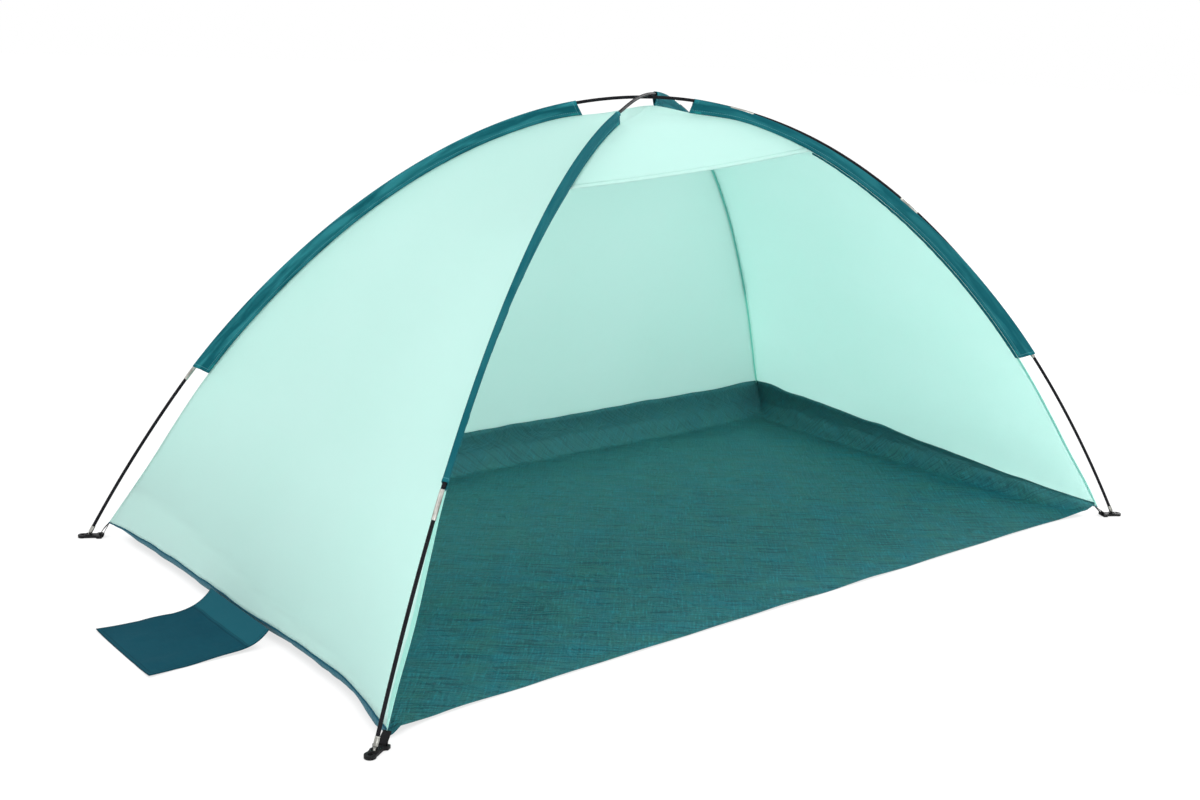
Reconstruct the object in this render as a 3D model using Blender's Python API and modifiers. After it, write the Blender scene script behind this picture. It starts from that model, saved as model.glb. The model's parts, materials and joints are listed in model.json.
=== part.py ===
# Beach tent: a half dome of cloth on two crossed, sectional fibreglass poles.
# Metres. +X runs along the open front, which faces -Y, and +Z is up.
# The origin is on the ground under the crown.

from math import atan2, cos, hypot, pi, radians, sin

import bmesh
import bpy
from mathutils import Matrix, Vector

# Tent
FLOOR_LENGTH = 2.000
FLOOR_DEPTH = 1.144
CROWN_HEIGHT = 0.967
FRONT_CORNER_HEIGHT = 0.021
BACK_CORNER_HEIGHT = 0.030
FOOT_SETBACK = 0.0393

# Shape of a bent pole: its fall from the crown by even powers of the reach
ARCH_SHARES = {2: 0.9157, 4: 0.0066, 6: 0.0777}
ARCH_STEPS = 1600
HALF_CHORDS = 16

# Floor sheet
CLOTH = 0.0008
SIDE_INSET = 0.020
BACK_INSET = 0.015
FRONT_INSET = 0.035
EDGE_RISE = 0.007
STRIP_RUN = 0.036
STRIP_FOLD = 0.010
STRIP_SPACE = 0.0018
STRIP_FRONT_RISE = 0.010
STRIP_BACK_RISE = 0.088
LIFT_RUN = 0.140
SIDE_POWER = 4
FRONT_POWER = 12

# Canopy panels
SEAM_DEPTH = 0.029
CORNER_SEAM_DEPTH = 0.023
FREE_SEAM_DEPTH = 0.036
GAP_SEAM_DEPTH = 0.036
CROWN_SEAM_DEPTH = 0.027
FRONT_LEFT_SEAM_SHIFT = 0.013
FRONT_RIGHT_SEAM_SHIFT = 0.005
SEAM_SPACE = 0.0008
SIDE_SAG = 0.012
BACK_SAG = 0.025
VISOR_SAG = 0.006
VISOR_LEFT_REACH = 0.495
VISOR_RIGHT_REACH = 0.386
VISOR_ROWS = 5
CROWN_OPENING = 0.006
HEM_BLEND_SHARE = 0.25
PANEL_COLUMNS = 8

# Pole sections, ferrules, tips and elastic
ROD_RADIUS = 0.00345
ROD_WALL = 0.0015
SECTIONS = 7
FRONT_LEFT_END_SECTION = 0.396
FRONT_RIGHT_END_SECTION = 0.4877
BACK_LEFT_END_SECTION = 0.437
BACK_RIGHT_END_SECTION = 0.5184
FERRULE_LENGTH = 0.054
FERRULE_WALL = 0.0008
ELASTIC_RADIUS = 0.0012
TIP_WALL = 0.0008
TIP_FLOOR = 0.003
TIP_LENGTH = 0.016
NOSE_RADIUS = 0.00275
NOSE_LENGTH = 0.0055
TUBE_SIDES = 8
TIP_SIDES = 12

# Pole sleeves: where each starts, from the seat of the foot, and how far it ends from the crown
SLEEVE_CLOTH = 0.0007
SLEEVE_FOLD = 0.0007
FRONT_LEFT_SLEEVE_START = 0.424
FRONT_LEFT_SLEEVE_GAP = 0.1938
FRONT_RIGHT_SLEEVE_START = 0.480
FRONT_RIGHT_SLEEVE_GAP = 0.1038
BACK_LEFT_SLEEVE_START = 0.445
BACK_LEFT_SLEEVE_GAP = 0.1598
BACK_RIGHT_SLEEVE_START = 0.490
BACK_RIGHT_SLEEVE_GAP = 0.0278

# Feet
FOOT_HEIGHT = 0.0055
BOSS_HEIGHT = 0.0075
BOSS_WALL = 0.0026
CUP_FLOOR = 0.003
CUP_RADIUS = 0.0029
CUP_MOUTH_RADIUS = 0.0054
PEG_HOLE_RADIUS = 0.004
PEG_HOLE_REACH = 0.0130
RING_WALL = 0.006
NECK_WIDTH = 0.017
BAR_REACH = 0.028
BAR_DEPTH = 0.003
BAR_RELIEF = 0.0018
SLOT_DEPTH = 0.0045
SLOT_WIDTH = 0.020
CHEEK_WIDTH = 0.004
CHEEK_RADIUS = 0.0025
SHOULDER_DEPTH = 0.004
ROUND_SIDES = 16
OVERRUN = 0.004

# Webbing loops at the corners
WEBBING_WIDTH = 0.014
WEBBING = 0.001
LOOP_SLACK = 0.0015
LOOP_POINTS = 36

# Sand flaps
FLAP_WIDTH = 0.240
FLAP_LENGTH = 0.2245
FLAP_CENTRE = -0.020
FLAP_CLOTH = 0.0012
FLAP_LANDING = 0.055
FLAP_UPTURN = 0.0015
FLAP_COLUMNS = 8
FLAP_ROWS = 6

# Space between touching parts
GAP = 0.0003
FIT = 0.0004

HALF_LENGTH = FLOOR_LENGTH / 2
HALF_DEPTH = FLOOR_DEPTH / 2
CORNER_REACH = hypot(HALF_LENGTH, HALF_DEPTH)
REACH = CORNER_REACH + FOOT_SETBACK
SEAT_HEIGHT = CUP_FLOOR + GAP + NOSE_RADIUS
FERRULE_RADIUS = ROD_RADIUS + FIT + FERRULE_WALL
ROD_START = NOSE_LENGTH + TIP_FLOOR + GAP
POLE_SPACING = 2 * ROD_RADIUS + FIT
FACET = cos(pi / TUBE_SIDES)
FLAP_HINGE_OFFSET = FLAP_CLOTH / 2 + CLOTH / 2 + GAP

CORNERS = {
    "front_left": (-1, -1),
    "front_right": (1, -1),
    "back_left": (-1, 1),
    "back_right": (1, 1),
}
SEAM_SHIFTS = {"front_left": FRONT_LEFT_SEAM_SHIFT, "front_right": FRONT_RIGHT_SEAM_SHIFT}
# Each wall's first and second corner, and how far its middle is drawn in
WALLS = {
    "left_wall": ("back_left", "front_left", SIDE_SAG),
    "right_wall": ("back_right", "front_right", SIDE_SAG),
    "back_wall": ("back_left", "back_right", BACK_SAG),
}

# Colour, roughness and metallic value of each material
MATERIALS = {
    "aqua_cloth": ((0.52, 0.86, 0.77), 0.75, 0.0),
    "teal_cloth": ((0.025, 0.12, 0.15), 0.70, 0.0),
    "floor_cloth": ((0.020, 0.13, 0.15), 0.60, 0.0),
    "flap_cloth": ((0.020, 0.10, 0.13), 0.65, 0.0),
    "black_fibreglass": ((0.015, 0.016, 0.020), 0.35, 0.0),
    "bright_steel": ((0.66, 0.67, 0.66), 0.25, 1.0),
    "black_plastic": ((0.012, 0.012, 0.014), 0.45, 0.0),
    "black_webbing": ((0.015, 0.015, 0.018), 0.85, 0.0),
    "white_elastic": ((0.75, 0.75, 0.72), 0.80, 0.0),
}


class Arch:
    # A bent pole in its upright plane, as straight chords between even stations.
    # Distances run along it from one foot's seat over the crown to the other's.

    def __init__(self, crown_height):
        curve = []
        for step in range(ARCH_STEPS + 1):
            share = 1 - 2 * step / ARCH_STEPS
            fall = sum(part * share ** power for power, part in ARCH_SHARES.items())
            height = SEAT_HEIGHT + (crown_height - SEAT_HEIGHT) * (1 - fall)
            curve.append(Vector((REACH * share, height)))
        lengths = [0.0]
        for start, end in zip(curve, curve[1:]):
            lengths.append(lengths[-1] + (end - start).length)
        self.length = lengths[-1]
        self.chord = self.length / (2 * HALF_CHORDS)
        self.stations = []
        step = 0
        for number in range(2 * HALF_CHORDS + 1):
            while step < ARCH_STEPS - 1 and lengths[step + 1] < number * self.chord:
                step += 1
            part = (number * self.chord - lengths[step]) / (lengths[step + 1] - lengths[step])
            self.stations.append(curve[step].lerp(curve[step + 1], part))

    def at(self, distance):
        number = min(int(distance / self.chord), 2 * HALF_CHORDS - 1)
        start, end = self.stations[number:number + 2]
        return start.lerp(end, distance / self.chord - number)

    def stops(self, start, end):
        inner = [number * self.chord for number in range(2 * HALF_CHORDS + 1)]
        return [start] + [stop for stop in inner if start + GAP < stop < end - GAP] + [end]


mean_arch = Arch(CROWN_HEIGHT)
lower_arch = Arch(CROWN_HEIGHT - POLE_SPACING / 2)
upper_arch = Arch(CROWN_HEIGHT + POLE_SPACING / 2)
ARCHES = {
    "front_left": upper_arch,
    "back_right": upper_arch,
    "back_left": lower_arch,
    "front_right": lower_arch,
}
CHORD = mean_arch.chord
HALF_ARC = mean_arch.length / 2
SLEEVES = {
    "front_left": (FRONT_LEFT_SLEEVE_START, HALF_ARC - FRONT_LEFT_SLEEVE_GAP),
    "front_right": (FRONT_RIGHT_SLEEVE_START, HALF_ARC - FRONT_RIGHT_SLEEVE_GAP),
    "back_left": (BACK_LEFT_SLEEVE_START, HALF_ARC - BACK_LEFT_SLEEVE_GAP),
    "back_right": (BACK_RIGHT_SLEEVE_START, HALF_ARC - BACK_RIGHT_SLEEVE_GAP),
}


def upright(corner, point):
    # A point of a corner's upright plane, given by its reach and height
    side, end = CORNERS[corner]
    along = side * HALF_LENGTH / CORNER_REACH
    across = end * HALF_DEPTH / CORNER_REACH
    return Vector((along * point.x, across * point.x, point.y))


def between(knots, distance):
    # A value along the pole, read from the straight lines between its knots
    for (start, low), (end, high) in zip(knots, knots[1:]):
        if distance <= end:
            return low + (high - low) * (distance - start) / (end - start)
    return knots[-1][1]


def seam_depth(distance):
    # How far the canopy's seam lies below the pole
    start, end = SLEEVES["back_left"]
    return between((
        (0.0, CORNER_SEAM_DEPTH),
        (start / 2, FREE_SEAM_DEPTH),
        (start, SEAM_DEPTH),
        (end, SEAM_DEPTH),
        ((end + HALF_ARC) / 2, GAP_SEAM_DEPTH),
        (HALF_ARC, CROWN_SEAM_DEPTH),
    ), distance)


def seam_shift(corner, distance):
    # In front, below the visor, only the wall pulls at the seam, and draws it back
    visor = HALF_ARC - VISOR_LEFT_REACH
    return SEAM_SHIFTS.get(corner, 0.0) * between((
        (0.0, 0.0),
        (FRONT_LEFT_SLEEVE_START / 2, 0.0),
        (FRONT_LEFT_SLEEVE_START, 1.0),
        ((FRONT_LEFT_SLEEVE_START + visor) / 2, 1.0),
        (visor, 0.0),
        (HALF_ARC, 0.0),
    ), distance)


def corner_height(b):
    # Height of the cloth's corners, from front to back
    return FRONT_CORNER_HEIGHT + (BACK_CORNER_HEIGHT - FRONT_CORNER_HEIGHT) * (b + 1) / 2


def seam_stations():
    points = [Vector((CORNER_REACH, corner_height(0)))]
    for number in range(1, HALF_CHORDS + 1):
        tangent = (mean_arch.stations[number + 1] - mean_arch.stations[number - 1]).normalized()
        outward = Vector((tangent.y, -tangent.x))
        points.append(mean_arch.stations[number] - outward * seam_depth(number * CHORD))
    return points


SEAM = seam_stations()
SEAM_START = FOOT_SETBACK * (SEAM[0].y - SEAT_HEIGHT) / hypot(FOOT_SETBACK, SEAM[0].y - SEAT_HEIGHT)


def seam_station(corner, number):
    point = upright(corner, SEAM[number])
    if number == 0:
        point.z = corner_height(CORNERS[corner][1])
    point.y += seam_shift(corner, number * CHORD)
    return point


def seam(corner, distance):
    number = min(int(distance / CHORD), HALF_CHORDS - 1)
    first = SEAM_START if number == 0 else number * CHORD
    part = (distance - first) / ((number + 1) * CHORD - first)
    return seam_station(corner, number).lerp(seam_station(corner, number + 1), part)


def half_length_at(b):
    return HALF_LENGTH - SIDE_INSET * (1 - b ** SIDE_POWER)


def half_depth_at(a, b):
    if b > 0:
        return HALF_DEPTH - BACK_INSET * (1 - a ** SIDE_POWER)
    return HALF_DEPTH - FRONT_INSET * (1 - a ** FRONT_POWER)


def floor_point(a, b):
    # The flat of the floor: a runs from -1 at the left edge to 1 at the right,
    # b from -1 in front to 1 behind
    x = a * half_length_at(b)
    y = b * half_depth_at(a, b)
    to_corner = hypot(HALF_LENGTH - abs(x), HALF_DEPTH - abs(y))
    lift = corner_height(b) * max(0, 1 - to_corner / LIFT_RUN) ** 2
    return Vector((x, y, max(lift, CLOTH / 2)))


def hem_point(first, second, share):
    # The lower edge of a wall, where the floor's turned-up edge goes up inside it
    a_first, b_first = CORNERS[first]
    a_second, b_second = CORNERS[second]
    a = a_first + (a_second - a_first) * share
    b = b_first + (b_second - b_first) * share
    rim = corner_height(b) + EDGE_RISE * (1 - (a * b) ** SIDE_POWER)
    return Vector((a * half_length_at(b), b * half_depth_at(a, b), rim))


def wall_stops():
    return [SEAM_START] + [number * CHORD for number in range(1, HALF_CHORDS)] + [HALF_ARC - CROWN_OPENING]


def clear_share(first, second, share, distance):
    # The share of the way between two seams, kept clear of both
    inset = SEAM_SPACE / (seam(second, distance) - seam(first, distance)).length
    return inset + share * (1 - 2 * inset)


def panel_point(first, second, share, distance, sag):
    # A point of the cloth between two seams, drawn in a little at the middle
    start = seam(first, distance)
    end = seam(second, distance)
    across = clear_share(first, second, share, distance)
    below = max(distance - CHORD, SEAM_START)
    above = min(distance + CHORD, HALF_ARC)
    climb = seam(first, above) + seam(second, above) - seam(first, below) - seam(second, below)
    outward = climb.cross(end - start).normalized()
    if outward.z < 0:
        outward = -outward
    height = (distance - SEAM_START) / (HALF_ARC - SEAM_START)
    belly = sag * 16 * across * (1 - across) * height * (1 - height)
    return start.lerp(end, across) - outward * belly


def wall_point(wall, share, distance):
    # A wall is the panel between its seams, brought to its hem at the foot
    first, second, sag = WALLS[wall]
    point = panel_point(first, second, share, distance, sag)
    height = (distance - SEAM_START) / (HALF_ARC - SEAM_START)
    fade = max(0, 1 - height / HEM_BLEND_SHARE) ** 2
    hem = hem_point(first, second, clear_share(first, second, share, SEAM_START))
    return point + fade * (hem - panel_point(first, second, share, SEAM_START, sag))


def facet_point(wall, share, distance):
    # The same place on the wall's flat facets, for what lies close inside it
    stops = wall_stops()
    row = max(number for number in range(len(stops) - 1) if stops[number] <= distance)
    column = min(int(share * PANEL_COLUMNS), PANEL_COLUMNS - 1)
    across = share * PANEL_COLUMNS - column
    level = []
    for stop in stops[row:row + 2]:
        start = wall_point(wall, column / PANEL_COLUMNS, stop)
        end = wall_point(wall, (column + 1) / PANEL_COLUMNS, stop)
        level.append(start.lerp(end, across))
    return level[0].lerp(level[1], (distance - stops[row]) / (stops[row + 1] - stops[row]))


def strip_point(wall, a, b, top):
    # The floor's turned-up edge, close inside a wall, at the wall's hem or at its own top
    share = (a + 1) / 2 if wall == "back_wall" else (1 - b) / 2
    rise = STRIP_FRONT_RISE + (STRIP_BACK_RISE - STRIP_FRONT_RISE) * sin(pi / 4 * (b + 1))
    place = facet_point(wall, share, SEAM_START + rise if top else SEAM_START)
    if wall != "back_wall" or abs(a) == 1:
        place.x -= STRIP_SPACE * (1 if a > 0 else -1)
    if wall == "back_wall" or abs(b) == 1:
        place.y -= STRIP_SPACE * (1 if b > 0 else -1)
    return place


def new_collection(name):
    collection = bpy.data.collections.new(name)
    bpy.context.scene.collection.children.link(collection)
    return collection


def make_material(name):
    colour, roughness, metallic = MATERIALS[name]
    material = bpy.data.materials.new(name)
    material.use_nodes = True
    shader = material.node_tree.nodes["Principled BSDF"]
    shader.inputs["Base Color"].default_value = (*colour, 1)
    shader.inputs["Roughness"].default_value = roughness
    shader.inputs["Metallic"].default_value = metallic
    material.diffuse_color = (*colour, 1)
    return material


def add_object(name, data, material, collection):
    item = bpy.data.objects.new(name, data)
    collection.objects.link(item)
    if material:
        data.materials.clear()
        data.materials.append(materials[material])
    return item


def mapped_grid(name, columns, rows, place, closed=False):
    # A grid whose points are placed by a rule; a closed one is welded into a tube
    grid = bmesh.new()
    bmesh.ops.create_grid(grid, x_segments=columns, y_segments=rows, size=1)
    for vert in grid.verts:
        column = round((vert.co.x + 1) / 2 * columns)
        row = round((vert.co.y + 1) / 2 * rows)
        vert.co = place(column, row)
    if closed:
        bmesh.ops.remove_doubles(grid, verts=grid.verts, dist=GAP / 10)
    mesh = bpy.data.meshes.new(name)
    grid.to_mesh(mesh)
    grid.free()
    mesh.shade_smooth()
    return mesh


def add_sheet(name, columns, rows, place, thickness, material, closed=False):
    item = add_object(name, mapped_grid(name, columns, rows, place, closed), material, tent)
    solid = item.modifiers.new("thickness", "SOLIDIFY")
    solid.thickness = thickness
    solid.offset = 0
    return item


def add_tube(name, arch, corner, start, end, radius, material, wall=0.0, resolution=2):
    # A tube along a pole's chords, solid where it has no wall
    curve = bpy.data.curves.new(name, "CURVE")
    curve.dimensions = "3D"
    curve.twist_mode = "Z_UP"
    curve.bevel_depth = radius
    curve.bevel_resolution = resolution
    curve.use_fill_caps = wall == 0
    stops = arch.stops(start, end)
    spline = curve.splines.new("POLY")
    spline.points.add(len(stops) - 1)
    for point, stop in zip(spline.points, stops):
        point.co = (*upright(corner, arch.at(stop)), 1)
    item = add_object(name, curve, material, tent)
    if wall:
        solid = item.modifiers.new("wall", "SOLIDIFY")
        solid.thickness = wall
        solid.offset = -1
        solid.use_even_offset = True
    return item


def add_floor():
    # Rows and columns stand at the walls' own columns, with more of them near the edges
    columns = [2 * number / PANEL_COLUMNS - 1 for number in range(PANEL_COLUMNS + 1)]
    inner = columns[1:-1]
    lifts = (STRIP_RUN, (STRIP_RUN + LIFT_RUN) / 2)
    sides = [1] + [1 - run / HALF_LENGTH for run in (STRIP_FOLD, *lifts)]
    back = [1] + [1 - run / HALF_DEPTH for run in (STRIP_FOLD, *lifts)]
    front = [1] + [1 - run / HALF_DEPTH for run in lifts]
    along = [-place for place in sides] + inner + sides[::-1]
    across = [-place for place in front] + inner + back[::-1]

    def level(number, count):
        # 2 at the top of the turned-up edge, 1 at the walls' hem and 0 on the ground
        return max(0, 2 - (count - 1 - number))

    def place(column, row):
        a = along[column]
        b = across[row]
        side = level(max(column, len(along) - 1 - column), len(along))
        behind = level(row, len(across))
        if side == behind == 0:
            return floor_point(a, b)
        if side == behind:
            b = 1
        if side < behind:
            return strip_point("back_wall", a, b, behind == 2)
        a = 1 if a > 0 else -1
        return strip_point("right_wall" if a > 0 else "left_wall", a, b, side == 2)

    add_sheet("groundsheet", len(along) - 1, len(across) - 1, place, CLOTH, "floor_cloth")


def add_wall(name):
    stops = wall_stops()

    def place(column, row):
        return wall_point(name, column / PANEL_COLUMNS, stops[row])

    add_sheet(name, PANEL_COLUMNS, len(stops) - 1, place, CLOTH, "aqua_cloth")


def add_visor():
    # Its free edge runs aslant, further down the left pole than the right
    top = HALF_ARC - CROWN_OPENING

    def place(column, row):
        share = column / PANEL_COLUMNS
        reach = VISOR_LEFT_REACH + (VISOR_RIGHT_REACH - VISOR_LEFT_REACH) * share
        start = HALF_ARC - reach
        stop = start + (top - start) * row / VISOR_ROWS
        return panel_point("front_left", "front_right", share, stop, VISOR_SAG)

    add_sheet("visor", PANEL_COLUMNS, VISOR_ROWS, place, CLOTH, "aqua_cloth")


def add_sleeve(corner):
    # A folded band of cloth: round over the pole, flat down to the canopy's seam
    arch = ARCHES[corner]
    stops = arch.stops(*SLEEVES[corner])
    round_radius = (FERRULE_RADIUS + FIT + SLEEVE_CLOTH / 2) / FACET
    slant = round_radius * FACET

    def place(column, row):
        centre = upright(corner, arch.at(stops[row]))
        climb = upright(corner, arch.at(stops[row] + CHORD / 2) - arch.at(stops[row] - CHORD / 2))
        foot = seam(corner, stops[row] * mean_arch.length / arch.length)
        down = (foot - centre).normalized()
        lateral = climb.cross(down).normalized()
        depth = (foot - centre).length - SEAM_SPACE - SLEEVE_CLOTH
        profile = [
            (0, -round_radius),
            (slant * cos(pi / 4) / FACET, -slant * sin(pi / 4) / FACET),
            (round_radius, 0),
            (round_radius / 2, depth / 2),
            (SLEEVE_FOLD, depth),
        ]
        profile += [(-across, drop) for across, drop in reversed(profile[1:])]
        across, drop = profile[column % len(profile)]
        return centre + lateral * across + down * drop

    add_sheet(f"{corner}_sleeve", 9, len(stops) - 1, place, SLEEVE_CLOTH, "teal_cloth", closed=True)


def add_pole(name, arch, corner, first, last):
    # Hollow sections joined by ferrules, with an elastic cord through them. The inner ones are alike
    pitch = (arch.length - first - last) / (SECTIONS - 2)
    joints = [first + number * pitch for number in range(SECTIONS - 1)]
    ends = [ROD_START] + joints + [arch.length - ROD_START]
    for number in range(SECTIONS):
        start = ends[number] + (GAP / 2 if number else 0)
        end = ends[number + 1] - (GAP / 2 if number < SECTIONS - 1 else 0)
        title = f"{name}_pole_section_{number + 1}"
        add_tube(title, arch, corner, start, end, ROD_RADIUS, "black_fibreglass", wall=ROD_WALL)
    for number, joint in enumerate(joints):
        title = f"{name}_pole_ferrule_{number + 1}"
        start = joint - FERRULE_LENGTH / 2
        end = joint + FERRULE_LENGTH / 2
        add_tube(title, arch, corner, start, end, FERRULE_RADIUS, "bright_steel", wall=FERRULE_WALL)
    title = f"{name}_pole_elastic"
    end = arch.length - ROD_START
    add_tube(title, arch, corner, ROD_START, end, ELASTIC_RADIUS, "white_elastic", resolution=1)


def tip_mesh():
    # Turned: the bore from its floor up, then down the outside to the round nose
    bore = (ROD_RADIUS + FIT) / cos(pi / TIP_SIDES)
    outer = bore + TIP_WALL
    floor = NOSE_LENGTH + TIP_FLOOR
    top = NOSE_LENGTH + TIP_LENGTH
    profile = [(0, floor), (bore, floor), (bore, top), (outer, top), (outer, NOSE_LENGTH), (NOSE_RADIUS, NOSE_LENGTH)]
    profile += [(NOSE_RADIUS * cos(radians(turn)), -NOSE_RADIUS * sin(radians(turn))) for turn in (0, 30, 60)]
    profile.append((0, -NOSE_RADIUS))
    line = bmesh.new()
    verts = [line.verts.new((radius, 0, height)) for radius, height in profile]
    for start, end in zip(verts, verts[1:]):
        line.edges.new((start, end))
    mesh = bpy.data.meshes.new("pole_tip")
    line.to_mesh(mesh)
    line.free()
    turned = add_object("pole_tip_profile", mesh, None, guides)
    screw = turned.modifiers.new("turn", "SCREW")
    screw.axis = "Z"
    screw.steps = TIP_SIDES
    screw.render_steps = TIP_SIDES
    screw.use_merge_vertices = True
    screw.merge_threshold = GAP / 10
    return evaluated_mesh(turned, "pole_tip")


def evaluated_mesh(item, name):
    graph = bpy.context.evaluated_depsgraph_get()
    mesh = bpy.data.meshes.new_from_object(item.evaluated_get(graph))
    mesh.name = name
    clean = bmesh.new()
    clean.from_mesh(mesh)
    bmesh.ops.remove_doubles(clean, verts=clean.verts, dist=GAP / 10)
    clean.to_mesh(mesh)
    clean.free()
    bpy.data.objects.remove(item)
    return mesh


def add_tip(corner, mesh):
    arch = ARCHES[corner]
    seat = upright(corner, arch.at(0))
    climb = upright(corner, arch.at(CHORD)) - seat
    item = add_object(f"{corner}_pole_tip", mesh, "bright_steel", tent)
    item.location = seat
    item.rotation_euler = climb.to_track_quat("Z", "Y").to_euler()


def arc(centre_x, centre_y, radius, start, end, steps):
    turns = [radians(start + (end - start) * step / steps) for step in range(steps + 1)]
    return [(centre_x + radius * cos(turn), centre_y + radius * sin(turn)) for turn in turns]


def add_spline(curve, points):
    spline = curve.splines.new("POLY")
    spline.points.add(len(points) - 1)
    for point, (x, y) in zip(spline.points, points):
        point.co = (x, y, 0, 1)
    spline.use_cyclic_u = True


def foot_outline():
    # Ring round the peg hole, narrow neck, then the wide bar for the webbing
    ring = PEG_HOLE_RADIUS + RING_WALL
    half_bar = SLOT_WIDTH / 2 + CHEEK_WIDTH
    shoulder = -BAR_REACH + BAR_DEPTH + SLOT_DEPTH + SHOULDER_DEPTH
    half = arc(PEG_HOLE_REACH, 0, ring, 0, 120, 6)
    half += [(0, NECK_WIDTH / 2), (shoulder + CHEEK_RADIUS, NECK_WIDTH / 2)]
    half += arc(shoulder - CHEEK_RADIUS, half_bar - CHEEK_RADIUS, CHEEK_RADIUS, 0, 90, 2)
    half += arc(-BAR_REACH + CHEEK_RADIUS, half_bar - CHEEK_RADIUS, CHEEK_RADIUS, 90, 180, 2)
    return half + [(x, -y) for x, y in reversed(half[1:])]


def foot_plate():
    curve = bpy.data.curves.new("foot_plate", "CURVE")
    curve.dimensions = "2D"
    curve.fill_mode = "BOTH"
    curve.extrude = FOOT_HEIGHT / 2
    slot_start = -BAR_REACH + BAR_DEPTH
    slot = [
        (slot_start, -SLOT_WIDTH / 2),
        (slot_start + SLOT_DEPTH, -SLOT_WIDTH / 2),
        (slot_start + SLOT_DEPTH, SLOT_WIDTH / 2),
        (slot_start, SLOT_WIDTH / 2),
    ]
    add_spline(curve, foot_outline())
    add_spline(curve, slot)
    add_spline(curve, arc(PEG_HOLE_REACH, 0, PEG_HOLE_RADIUS, 0, 360, ROUND_SIDES)[:-1])
    plate = add_object("foot_plate", curve, None, guides)
    plate.location.z = FOOT_HEIGHT / 2
    bpy.context.view_layer.update()
    mesh = evaluated_mesh(plate, "foot_plate")
    mesh.transform(Matrix.Translation((0, 0, FOOT_HEIGHT / 2)))
    return add_object("foot_plate", mesh, None, guides)


def add_cone(name, low_radius, high_radius, low, high):
    # Facets stay outside the stated radii
    widen = 1 / cos(pi / ROUND_SIDES)
    cone = bmesh.new()
    bmesh.ops.create_cone(
        cone,
        cap_ends=True,
        segments=ROUND_SIDES,
        radius1=low_radius * widen,
        radius2=high_radius * widen,
        depth=high - low,
        matrix=Matrix.Translation((0, 0, (low + high) / 2)),
    )
    mesh = bpy.data.meshes.new(name)
    cone.to_mesh(mesh)
    cone.free()
    return add_guide(name, mesh)


def add_box(name, low, high):
    low = Vector(low)
    high = Vector(high)
    cube = bmesh.new()
    size = Matrix.Diagonal((*(high - low), 1))
    bmesh.ops.create_cube(cube, size=1, matrix=Matrix.Translation((low + high) / 2) @ size)
    mesh = bpy.data.meshes.new(name)
    cube.to_mesh(mesh)
    cube.free()
    return add_guide(name, mesh)


def add_guide(name, mesh):
    item = add_object(name, mesh, None, guides)
    item.hide_render = True
    item.display_type = "WIRE"
    return item


def foot_mesh():
    boss = add_cone("foot_boss", CUP_MOUTH_RADIUS + BOSS_WALL, CUP_MOUTH_RADIUS + BOSS_WALL, GAP, BOSS_HEIGHT)
    spread = (CUP_MOUTH_RADIUS - CUP_RADIUS) / (BOSS_HEIGHT - CUP_FLOOR)
    mouth = CUP_MOUTH_RADIUS + spread * OVERRUN
    cup = add_cone("foot_cup", CUP_RADIUS, mouth, CUP_FLOOR, BOSS_HEIGHT + OVERRUN)
    relief_end = -BAR_REACH + BAR_DEPTH + SLOT_DEPTH / 2
    half_relief = SLOT_WIDTH / 2 - FIT
    relief = add_box(
        "foot_relief",
        (-BAR_REACH - OVERRUN, -half_relief, -OVERRUN),
        (relief_end, half_relief, BAR_RELIEF),
    )
    plate = foot_plate()
    for cutter, operation in ((boss, "UNION"), (cup, "DIFFERENCE"), (relief, "DIFFERENCE")):
        change = plate.modifiers.new(cutter.name, "BOOLEAN")
        change.object = cutter
        change.operation = operation
        change.solver = "EXACT"
    bpy.context.view_layer.update()
    return evaluated_mesh(plate, "foot")


def add_foot(corner, mesh):
    seat = upright(corner, ARCHES[corner].at(0))
    item = add_object(f"{corner}_foot", mesh, "black_plastic", tent)
    item.location = (seat.x, seat.y, 0)
    item.rotation_euler.z = atan2(seat.y, seat.x)


def webbing_path(height):
    # Round the foot's bar and up to the tent's corner, in the foot's own plane
    half = WEBBING / 2
    bar_outer = -BAR_REACH - LOOP_SLACK - half
    bar_inner = -BAR_REACH + BAR_DEPTH + LOOP_SLACK + half
    low = half + GAP
    top = FOOT_HEIGHT + LOOP_SLACK + half
    tip_x = -FOOT_SETBACK - hypot(STRIP_SPACE, STRIP_SPACE) + FIT + half
    tip_z = height - FIT - half
    bend = LOOP_SLACK + half
    mid = bend * (1 - sin(pi / 4))
    return [
        (bar_inner - bend, low),
        (bar_inner - mid, low + mid),
        (bar_inner, low + bend),
        (bar_inner, FOOT_HEIGHT),
        (bar_inner - bend / 2, top),
        ((bar_inner + tip_x) / 2 + WEBBING, (top + tip_z) / 2),
        (tip_x + WEBBING, tip_z - WEBBING),
        (tip_x, tip_z),
        (tip_x - WEBBING / 2, tip_z - WEBBING - half),
        ((bar_outer + tip_x) / 2, (top + tip_z) / 2 - WEBBING),
        (bar_outer - half, top),
        (bar_outer, low + bend),
        (bar_outer + mid, low + mid),
        (bar_outer + bend, low),
    ]


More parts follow.
